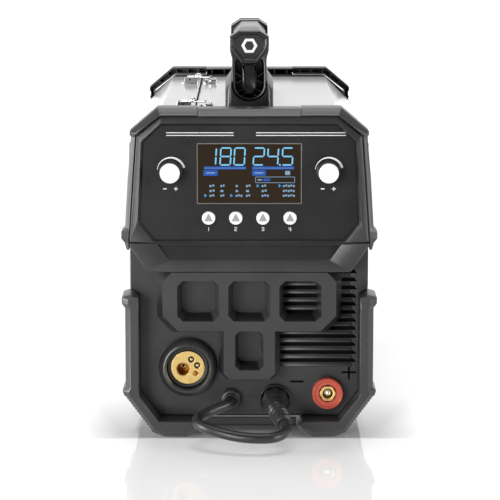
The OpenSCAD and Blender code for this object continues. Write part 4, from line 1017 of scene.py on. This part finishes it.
    def button(self, i, x):
        """Shallow dished cap in a dark ring, with a plain grey triangle."""
        body = f"button_{i + 1}"
        z = BUTTON_Z
        cap = [[0, -213.0], [5.3, -213.0], [5.9, -213.6], [5.9, -221.8], [5.75, -222.3], [5.3, -222.5],
               [4.9, -222.42], [0, -222.3]]
        put(f"{body}_cap", lathe(rounded(cap, 0.2, 2, closed=False), (x, 0, z), "y", 64), "White plastic", body,
            body)
        corners = [[x - 3.7, z - 2.7], [x + 3.7, z - 2.7], [x + 0.5, z + 3.6], [x - 0.5, z + 3.6]]
        mark = prism(rounded(corners, 0.3, 2), [(-222.2, 0), (-222.49, 0)])
        put(f"{body}_mark", mark, "Grey ink", body=body)


# ---- connectors ----
class WELDER_OT_connectors(bpy.types.Operator):
    """Torch connector, output sockets and the polarity signs on the wall"""

    bl_idname = "welder.connectors"
    bl_label = "Connectors"

    def execute(self, context):
        black = "Black moulding"
        collar = [[19.3, -200.1], [27, -200.1], [27, -203.4], [26.6, -206], [25.5, -208.6], [24, -210.5],
                  [22.3, -211.7], [21, -212], [20.2, -211.6], [19.9, -210.6], [19.3, -209.4]]
        put("torch_collar", lathe(rounded(collar, 0.5, 3), TORCH, "y", 96, ring=True), "Collar plastic",
            "euro_collar")
        sleeve = [[15.4, -191], [15.4, -204.2], [15.8, -204.8], [16.4, -205], [18.2, -205], [18.8, -204.6],
                  [19.0, -204], [19.0, -200], [18.7, -199.9], [18.7, -196.9], [23, -196.9], [23, -191]]
        put("torch_sleeve", lathe(sleeve, TORCH, "y", 80, ring=True), black, "euro_insulator")
        eased_copy("torch_brass", "euro_body", "Torch brass", 0.35, 3)
        places = [(TORCH[0] + a, 0, TORCH[2] + b) for a, b in PINS]
        pins = [lathe([[1.35, -198.3], [2.7, -198.3], [2.75, -205.2], [2.3, -205.5], [1.35, -205.3]], p, "y", 32,
                      ring=True) for p in places]
        put("pin_sleeves", together(pins), black)
        # The bore's wall and floor take the darker brass: painted shade in the hole
        bore = [[5.85, -206.1], [5.85, -190.2], [2.0, -190.2], [2.0, -190.6], [5.5, -190.6], [5.5, -205.9]]
        put("torch_bore", lathe(bore, WIRE, "y", 64, ring=True), "Bore brass with painted shade")
        pins = [rod(-204.6, -199, 1.3, p, 0.4, 24) for p in places]
        put("pin_contacts", together(pins), "Bright pin")
        red = [[8, -192.1], [8, -207.1], [8.3, -207.5], [11.6, -207.6], [12.0, -208.0], [12.2, -209.4],
               [12.8, -210], [13.5, -209.9], [14.1, -209.3], [14.3, -208.4], [14.3, -200.1], [11, -200.1],
               [11, -192.1]]
        put("positive_collar", lathe(rounded(red, 0.3, 2), POSITIVE, "y", 80, ring=True), "Red plastic",
            "red_socket")
        self.insert()
        eased_copy("negative_socket", "black_socket", black, 0.45, 3)
        self.signs()
        return {"FINISHED"}

    def insert(self):
        """Six-lobed brass ring: the outer wall's radius swells six times round, the bore stays round."""
        profile = np.array([[4.6, -188.0], [4.6, -207.4], [4.9, -207.9], [5.3, -208.0], [6.7, -208.0],
                            [7.2, -207.6], [7.3, -207.0], [7.3, -204.0], [7.7, -203.6], [7.7, -184.0],
                            [4.4, -184.0]])
        wave = [0, 0, 0, 0, 0.045, 0.045, 0.045, 0.045, 0, 0, 0]
        ring = lathe(profile, POSITIVE, "y", 96, ring=True, wave=wave, teeth=6)
        plug = lathe([[0, -186], [4.6, -186], [4.6, -188.2], [0, -189.4]], POSITIVE, "y", 48)
        put("positive_insert", ring + plug, "Socket brass", "red_socket_insert")
        pin = np.vstack([[0, -189], [3.2, -189], dome(3.2, -3.0, -203.4, steps=9)])
        put("positive_pin", lathe(pin, POSITIVE, "y", 40), "Bright pin")

    def signs(self):
        """A plus and a minus, raised 0.15 on the wall."""
        y = WALL - 0.02
        bars = ((84.3, 97.7, 54.4, 56.2), (90.1, 91.9, 48.6, 62.0), (37.4, 49.6, 45.7, 47.5))
        shapes = [prism(rectangle(*bar), [(y, 0), (y - 0.15, 0.05)]) for bar in bars]
        put("polarity_signs", together(shapes), "Black ink")


# ---- casing ----
def sheet_shape(line, thickness, y0, y1, radius=4.0):
    """A bent sheet: a line with rounded bends and its parallel one thickness inwards, carried along y."""
    p = rounded(line, radius, 5, closed=False)
    q = p + thickness * mitre(p, closed=False)
    return prism(np.vstack([p, q[::-1]]), [(y0, 0.3), (y0 + 0.3, 0), (y1 - 0.3, 0), (y1, 0.3)])


class WELDER_OT_casing(bpy.types.Operator):
    """Bent steel cover, hinged side door, base tray and dividing wall"""

    bl_idname = "welder.casing"
    bl_label = "Casing"

    def execute(self, context):
        paint = "Cover paint"
        line = [[108, 40.4], [108, 264], [80, TOP], [-50, TOP], [-50, TOP - 7.9]]
        put("cover_sheet", sheet_shape(line, 1.5, -175.4, 175.4), paint, "main_cover")
        line = [[-50.6, TOP], [-81, TOP], [-110, 263], [-110, 45.2]]
        door = sheet_shape(line, 1.5, -175.4, 175.4) + self.knuckles()
        put("door_sheet", door, paint, "side_door", body="door")
        finish_node("door_hinges", "Steel")
        eased_copy("floor_tray", "base_tray", "Primer", 0.4)
        eased_copy("middle_wall", "divider_wall", "Primer", 0.4)
        return {"FINISHED"}

    def knuckles(self):
        """Rolled knuckles: rings with a bore for the pin, each with a short neck to the sheet."""
        profile = [[1.55, 0.3], [2.5, 0.3], [2.8, 0.6], [2.8, 13.6], [2.5, 13.9], [1.55, 13.9]]
        ring = lathe(profile, (-110.4, 0, 44), "y", 32, ring=True)
        neck = block((-110, 0.4, 45.2), (-108.5, 13.8, 47), 0.2)
        return together([(ring + neck).moved(y=y) for y in (-130, 0, 130)])


# ---- draw latches ----
class WELDER_OT_latches(bpy.types.Operator):
    """Plated draw latches: ribbed plates, catches and domed levers"""

    bl_idname = "welder.latches"
    bl_label = "Draw latches"

    def execute(self, context):
        m = "Bright plate"
        bases, keepers = [], []
        for name, y in LATCHES:
            bases.append(self.base(y))
            keepers.append(self.keeper(y))
            body = f"latch_lever_{name}"
            put(f"latch_arm_{name}", self.lever(y), m, body, body)
        put("latch_plates", together(bases), m, "latch_bases", body="door")
        put("latch_catches", together(keepers), m, "latch_keepers")
        return {"FINISHED"}

    def plate(self, x0, x1, y0, y1, z0, z1, r=2.5):
        heights = [(z0, 0), (z1 - 0.35, 0), (z1 - 0.1, 0.12), (z1, 0.4)]
        return prism(rounded(rectangle(x0, x1, y0, y1), r, 4), heights, "z")

    def rivets(self, x, y, apart, z, r=1.3):
        """A pair of low domes."""
        one = np.vstack([[0, z - 0.1], dome(r, 0.7, z)])
        return lathe(one, (x, y - apart, 0), "z", 20) + lathe(one, (x, y + apart, 0), "z", 20)

    def base(self, y):
        """Foot plate with two tall cheeks that carry the lever's pin, clear of the lever's swing."""
        out = self.plate(-70, -52, y - 7, y + 7, TOP, TOP + 1.2)
        out += self.rivets(-54.4, y, 3.6, TOP + 1.2, 0.9)
        out += self.rivets(-68.3, y, 5.0, TOP + 1.2, 1.1)
        cheek = rounded([[-66.6, TOP + 0.6], [-53.6, TOP + 0.6], [-53.6, TOP + 4.4], [-57, TOP + 7.0],
                         [-63.6, TOP + 7.0], [-66.6, TOP + 5.4]], 1.2, 4)
        return out + together([prism(cheek, [(y0 - 1, 0.3), (y0 - 0.7, 0), (y0 + 0.7, 0), (y0 + 1, 0.3)])
                               for y0 in (y - 6, y + 6)])

    def keeper(self, y):
        """Foot plate with a raised block, its rivets and the hook."""
        out = self.plate(-47.5, -33, y - 7, y + 7, TOP, TOP + 1.2)
        out += block((-41, y - 6.8, TOP + 0.6), (-33.4, y + 6.8, TOP + 4.4), 0.8)
        out += self.rivets(-35.6, y, 4.2, TOP + 4.4)
        hook = rounded([[-46, TOP + 1], [-42.8, TOP + 1], [-42.8, TOP + 3.9], [-46, TOP + 3.9], [-46, TOP + 3.0],
                        [-44.2, TOP + 3.0]], 0.4, 2)
        return out + prism(hook, [(y - 5, 0.15), (y - 4.8, 0), (y + 4.8, 0), (y + 5, 0.15)])

    def lever(self, y):
        """Arm with a rolled eye, a domed boss in a ring and a turned-up tab."""
        x, _, z = LATCH_PIN
        eye = lathe([[1.2, y - 4.7], [2.3, y - 4.7], [2.6, y - 4.4], [2.6, y + 4.4], [2.3, y + 4.7],
                     [1.2, y + 4.7]], LATCH_PIN, "y", 32, ring=True)
        pin = rod(y - 7, y + 7, 1.15, LATCH_PIN, 0.25)
        side = np.array([[x, z + 1.0], [-59, z + 1.6], [-41.5, z + 1.2], [-40.2, z + 1.5], [-39.2, z + 2.9]])
        q = side + 0.9 * mitre(side, closed=False)
        widths = [(y - 4.5, 0.25), (y - 4.2, 0), (y + 4.2, 0), (y + 4.5, 0.25)]
        arm = prism(np.vstack([side, q[::-1]]), widths)
        boss = np.vstack([[0, z + 1.6], [4.4, z + 1.6], [4.4, z + 3.2], [4.0, z + 3.6], [3.7, z + 3.3],
                          dome(3.4, 2.4, z + 3.6, 0.6, 7)])
        return eye + pin + arm + lathe(boss, (-52.5, y, 0), "z", 36)


# ---- carry handle ----
class WELDER_OT_handle(bpy.types.Operator):
    """Carry handle: base blocks, uprights with recessed ribs, shields, tongues and the grip"""

    bl_idname = "welder.handle"
    bl_label = "Carry handle"

    def execute(self, context):
        m = "Handle plastic"
        plate = block((-18, -121.2, TOP), (18, -8.8, TOP + 4), 0.8, "z", 2)
        bolts = together([self.bolt().moved(x, y, TOP + 4) for x in (-10, 10) for y in (-110, -20)])
        put("handle_blocks", self.block() + self.back(self.block(True)) + plate + bolts, m, "handle_base")
        front = self.upright()
        put("handle_upright_front", front, m, "handle_front_leg")
        put("handle_upright_rear", self.back(front), m, "handle_rear_leg")
        ring = self.emblem()
        put("handle_emblems", ring + self.back(ring), "White ink")
        outline = both_halves([[10, 337], [15, 343], [15, 356], [8, 363]])
        rings = [(-126, 0), (-125, 0), (-123.6, 0.35), (-122.8, 0), (-7.2, 0), (-6.4, 0.35), (-5, 0), (-4, 0)]
        put("handle_bar", prism(rounded(outline, 2.2, 4), rings), "Grip rubber", "handle_grip")
        return {"FINISHED"}

    def back(self, shape):
        """The same shape turned round for the rear end."""
        return shape.scaled(y=-1).moved(y=2 * HANDLE_Y)

    def bolt(self):
        profile = [[0, 0], [3.6, 0], [3.6, 0.6], [3.2, 1.1], [2.0, 1.1], [1.8, 0.3], [0, 0.3]]
        return lathe(profile, axis="z", sides=36)

    def arc(self, half, low):
        """Lower half of an ellipse, from its lowest point to the right-hand side."""
        t = np.radians(np.linspace(-90, 0, 9))[1:]
        middle = 314.5
        return np.stack([half * np.cos(t), middle + (middle - low) * np.sin(t)], 1)

    def block(self, rear=False):
        """Rings along y: the half width grows from the front face to the back, and the top slopes up towards it;
        the rear one is lower."""
        y = np.array([-163, -162.6, -161.6, -160, -158, -155.5, -150, -139, -121.8, -121.3, -121])
        half = np.array([16.9, 18.2, 19.7, 20.9, 21.7, 22, 22, 22, 22, 21.8, 21.4])
        rise = np.clip((y + 160) / 36, 0, 1)
        inner = self.arc(16.3, 299.6)[::-1]
        rings = []
        for h, k in zip(half, rise):
            low, high = (303, 314.5) if rear else (311.2 + 6.2 * k, 316.2 + 9.4 * k)
            right = np.vstack([[[h, TOP], [h, low], [min(16.6, h - 0.3), high], [16.35, high], [16.3, 314.4]],
                               inner])
            left = (right * (-1, 1))[::-1]
            rings.append(np.vstack([right, left]))
        return solid(stood(np.stack(rings), y, "y"))

    def upright(self):
        """Frame with a rounded foot and a deep recess, the shield and tongue in front of it, and ribs in the
        recess."""
        outer = both_halves(np.vstack([self.arc(16, 300.1), [[16, 338], [18, 346], [18, 357.6], [9, 363.6]]]))
        inner = both_halves(np.vstack([self.arc(13.1, 302.2), [[13.1, 330], [12.6, 336], [9, 340], [5, 341]]]))
        rings = stepped(outer, [(-126, 0), (-155, 0), (-155.9, 0.35), (-156.3, 0.9)])
        rings += stepped(inner, [(-156.3, -0.8), (-156.0, -0.25), (-155.2, 0), (-131, 1.4)])
        out = solid(rings_along(rings))
        shield = both_halves([[7.2, 333.6], [16.2, 345.6], [18, 349.6], [18, 358], [8.9, 364]])
        field = both_halves([[5.4, 337.2], [13.2, 347.6], [14.9, 351.2], [14.9, 356.3], [7.9, 361]])
        rings = stepped(rounded(shield, 0.5, 3), [(-155, 0), (-156.6, 0), (-157.2, 0.3), (-157.85, 0.9),
                                                  (-158, 1.2)])
        rings += stepped(rounded(field, 0.5, 3), [(-158, -0.5), (-157.8, -0.15), (-156.2, 1.1)])
        out += solid(rings_along(rings))
        tongue = rounded(both_halves([[3.2, 305.6], [6.9, 311.2], [6.9, 333.8]]), [1.5, 1.5, 0.5] + [0.5, 1.5, 1.5],
                         3)
        out += prism(tongue, [(-131.5, 0), (-155.0, 0), (-155.4, 0.15), (-157.0, 1.5), (-157.3, 2.0)])
        return out + self.ribs()

    def ribs(self):
        """Thin walls between two points of the front view, from the recess floor to near its mouth."""
        pairs = [((7, 321.5), (13.2, 325.5)), ((7, 318.5), (13.2, 315.5)), ((6.8, 309.5), (12.4, 307.5)),
                 ((4.4, 306), (7.4, 302.6))]
        out = [prism(strut(a, b, 0.45), [(-131.2, 0), (-153.6, 0), (-153.9, 0.2)]) for a, b in pairs]
        return mirrored(together(out))

    def emblem(self):
        """A plain six-sided ring on the shield's field."""
        unit = circle(np.radians(np.arange(6) * 60))
        o, i = unit * 7.4 + (0, 350.2), unit * 4.6 + (0, 350.2)
        return hoop(o, i, -156.15, -156.9)


# ---- rear ----
class WELDER_OT_rear(bpy.types.Operator):
    """Rear moulding with fan, mains switch, gland and gas nipple"""

    bl_idname = "welder.rear"
    bl_label = "Rear"

    def execute(self, context):
        black = "Black moulding"
        eased_copy("rear_moulding", "rear_panel", "Housing plastic", 0.6)
        eased_copy("fan_housing", "fan_frame", black, 0.4)
        eased_copy("fan_wheel", "fan_rotor", black, 0.3, body="fan_rotor")
        eased_copy("switch_body", "power_switch", black, 0.5, 3)
        eased_copy("switch_rocker", "power_rocker", "Red plastic", 0.6, 3, "power_rocker")
        self.rocker_signs()
        gland = [[4, 189], [7.7, 189], [7.7, 200], [12, 200], [12, 206], [11.6, 206.3], [11.2, 206.6], [10.9, 208],
                 [10.2, 214.6], [9.4, 215.7], [8.4, 216], [5.2, 216], [4.3, 215.4], [4, 214]]
        wave = np.array([0, 0, 0, 0.035, 0.035, 0.035, 0, 0.02, 0.02, 0, 0, 0, 0, 0])
        put("mains_lead_gland", lathe(gland, MAINS, "y", 144, ring=True, wave=wave, teeth=6), black, "mains_gland")
        tip = round(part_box("gas_inlet")[1][1] / MM, 3)
        barb = [[1.8, 183.2], [4.7, 183.2], [4.7, 200], [7.6, 200], [8, 200.4], [8, 205.6], [7.6, 206], [3.6, 206]]
        for a in (tip - 21, tip - 14, tip - 7):
            barb += [[3.6, a - 0.6], [4.6, a], [4.5, a + 0.5]]
        barb += [[3.5, tip - 0.4], [3.1, tip], [2.0, tip], [1.8, tip - 0.3]]
        put("gas_nipple", lathe(barb, GAS, "y", 72, ring=True), "Nipple brass", "gas_inlet")
        return {"FINISHED"}

    def rocker_signs(self):
        """A bar and a ring on the rocker, for on and off."""
        x = ROCKER[0]
        bar = block((x - 0.5, 4.95, 3.5), (x + 0.5, 5.1, 7.5), 0.04)
        ring = circle(np.linspace(0, 2 * pi, 32, endpoint=False))
        o, i = (ring * r + (x, -5.5) for r in (2.1, 1.4))
        mark = hoop(o, i, 4.95, 5.1)
        put("rocker_print", (bar + mark).turned("x", 10).moved(0, ROCKER[1], ROCKER[2]), "White ink",
            body="power_rocker")


# ---- wire feeder ----
class WELDER_OT_feeder(bpy.types.Operator):
    """Wire spool, hub and the two-roll feeder behind the door"""

    bl_idname = "welder.feeder"
    bl_label = "Wire feeder"

    def execute(self, context):
        self.spool()
        eased_copy("spool_spindle", "spool_hub", "Black moulding", 0.6)
        eased_copy("feeder_plate", "feed_plate", "Cast aluminium", 0.6)
        eased_copy("feeder_motor", "feed_motor", "Steel", 0.6)
        eased_copy("tension_arm", "pressure_arm", "Cast aluminium", 0.5, body="pressure_arm")
        self.roll("drive_wheel", "drive_roll", 15, 4.05, 44)
        self.roll("pressure_wheel", "pressure_roll", 11, 3.05, 71)
        z = 83
        knob = [[0, z - 12], [3, z - 12], [3, z + 4.4], [7.4, z + 4.4], [8, z + 5], [8, z + 25.4], [7.2, z + 26.2],
                [5.6, z + 26.4], [0, z + 26.2]]
        wave = [0, 0, 0, 0, 0.05, 0.05, 0.03, 0, 0]
        put("tension_grip", lathe(knob, (WIRE[0], -91, 0), "z", 96, wave=wave, teeth=12), "Amber plastic",
            "tension_knob", "tension_knob")
        return {"FINISHED"}

    def roll(self, name, node, r, bore, z):
        """Roll with two wire grooves in its rim."""
        x = WIRE[0]
        rim = [[bore, x - 5], [r - 0.5, x - 5], [r, x - 4.5], [r, x - 2.9], [r - 0.8, x - 2.3], [r, x - 1.7],
               [r, x - 0.6], [r - 0.8, x], [r, x + 0.6], [r, x + 4.5], [r - 0.5, x + 5], [bore, x + 5]]
        put(name, lathe(rim, (0, FEED_Y, z), "x", 80, ring=True), "Steel", node, node)

    def spool(self):
        """Two flanges with a raised rim and spokes, and the wound wire as a row of turns."""
        a, b = -88.0, -33.0
        flange = [[26, a], [34, a], [34.6, a + 0.8], [95.4, a + 0.8], [96, a], [99.4, a], [99.97, a + 0.6],
                  [99.97, a + 2.4], [99.4, a + 3], [30, a + 3], [30, b - 3], [99.4, b - 3], [99.97, b - 2.4],
                  [99.97, b - 0.6], [99.4, b], [96, b], [95.4, b - 0.8], [34.6, b - 0.8], [34, b], [26, b]]
        shape = lathe(flange, SPOOL, "x", 144, ring=True)
        for x0, x1 in ((a, a + 0.9), (b - 0.9, b)):
            spoke = block((x0, -3.5, 33), (x1, 3.5, 96.5), 0.2, "x").moved(*SPOOL)
            shape += together([spoke.turned("x", k * 60, SPOOL) for k in range(6)])
        put("spool_shell", shape, "Spool plastic", "wire_spool", body="wire_spool")
        turns = 48
        x = np.linspace(a + 3.2, b - 3.2, turns * 4 + 1)
        r = 90.4 + 0.5 * np.abs(np.sin(np.arange(len(x)) * pi / 4))
        wound = np.vstack([[[30.1, x[0]]], np.stack([r, x], 1), [[30.1, x[-1]]]])
        put("wound_wire", lathe(wound, SPOOL, "x", 120, ring=True), "Copper wire", "spool_wire", body="wire_spool")


# ---- power bay ----
class WELDER_OT_power(bpy.types.Operator):
    """Main board, heat sinks, transformer and choke inside the right-hand bay"""

    bl_idname = "welder.power"
    bl_label = "Power bay"

    def execute(self, context):
        eased_copy("power_board", "inverter_board", "Board lacquer", 0.3)
        eased_copy("cooling_fins", "heat_sinks", "Cast aluminium", 0.3)
        eased_copy("windings", "magnetics", "Varnished winding", 0.8)
        return {"FINISHED"}


# ---- sidebar ----
class WELDER_PT_panel(bpy.types.Panel):
    """Lists the builders in the 3D view's sidebar"""

    bl_label = "Welder"
    bl_idname = "WELDER_PT_panel"
    bl_space_type = "VIEW_3D"
    bl_region_type = "UI"
    bl_category = "Welder"

    def draw(self, context):
        for name in WelderSettings.__annotations__:
            self.layout.prop(context.scene.welder, name)
        for builder in BUILDERS:
            self.layout.operator(builder.bl_idname)


BUILDERS = (WELDER_OT_stage, WELDER_OT_lead, WELDER_OT_guards, WELDER_OT_front, WELDER_OT_panel,
            WELDER_OT_connectors, WELDER_OT_casing, WELDER_OT_latches, WELDER_OT_handle, WELDER_OT_rear,
            WELDER_OT_feeder, WELDER_OT_power)


def register():
    for c in (WelderSettings, *BUILDERS, WELDER_PT_panel):
        bpy.utils.register_class(c)
    bpy.types.Scene.welder = PointerProperty(type=WelderSettings)


def unregister():
    del bpy.types.Scene.welder
    for c in reversed((WelderSettings, *BUILDERS, WELDER_PT_panel)):
        bpy.utils.unregister_class(c)


def main():
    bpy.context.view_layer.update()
    register()
    make_materials(bpy.context.scene.welder)
    for builder in BUILDERS:
        getattr(bpy.ops.welder, builder.bl_idname.split(".")[1])()


if __name__ == "__main__":
    main()
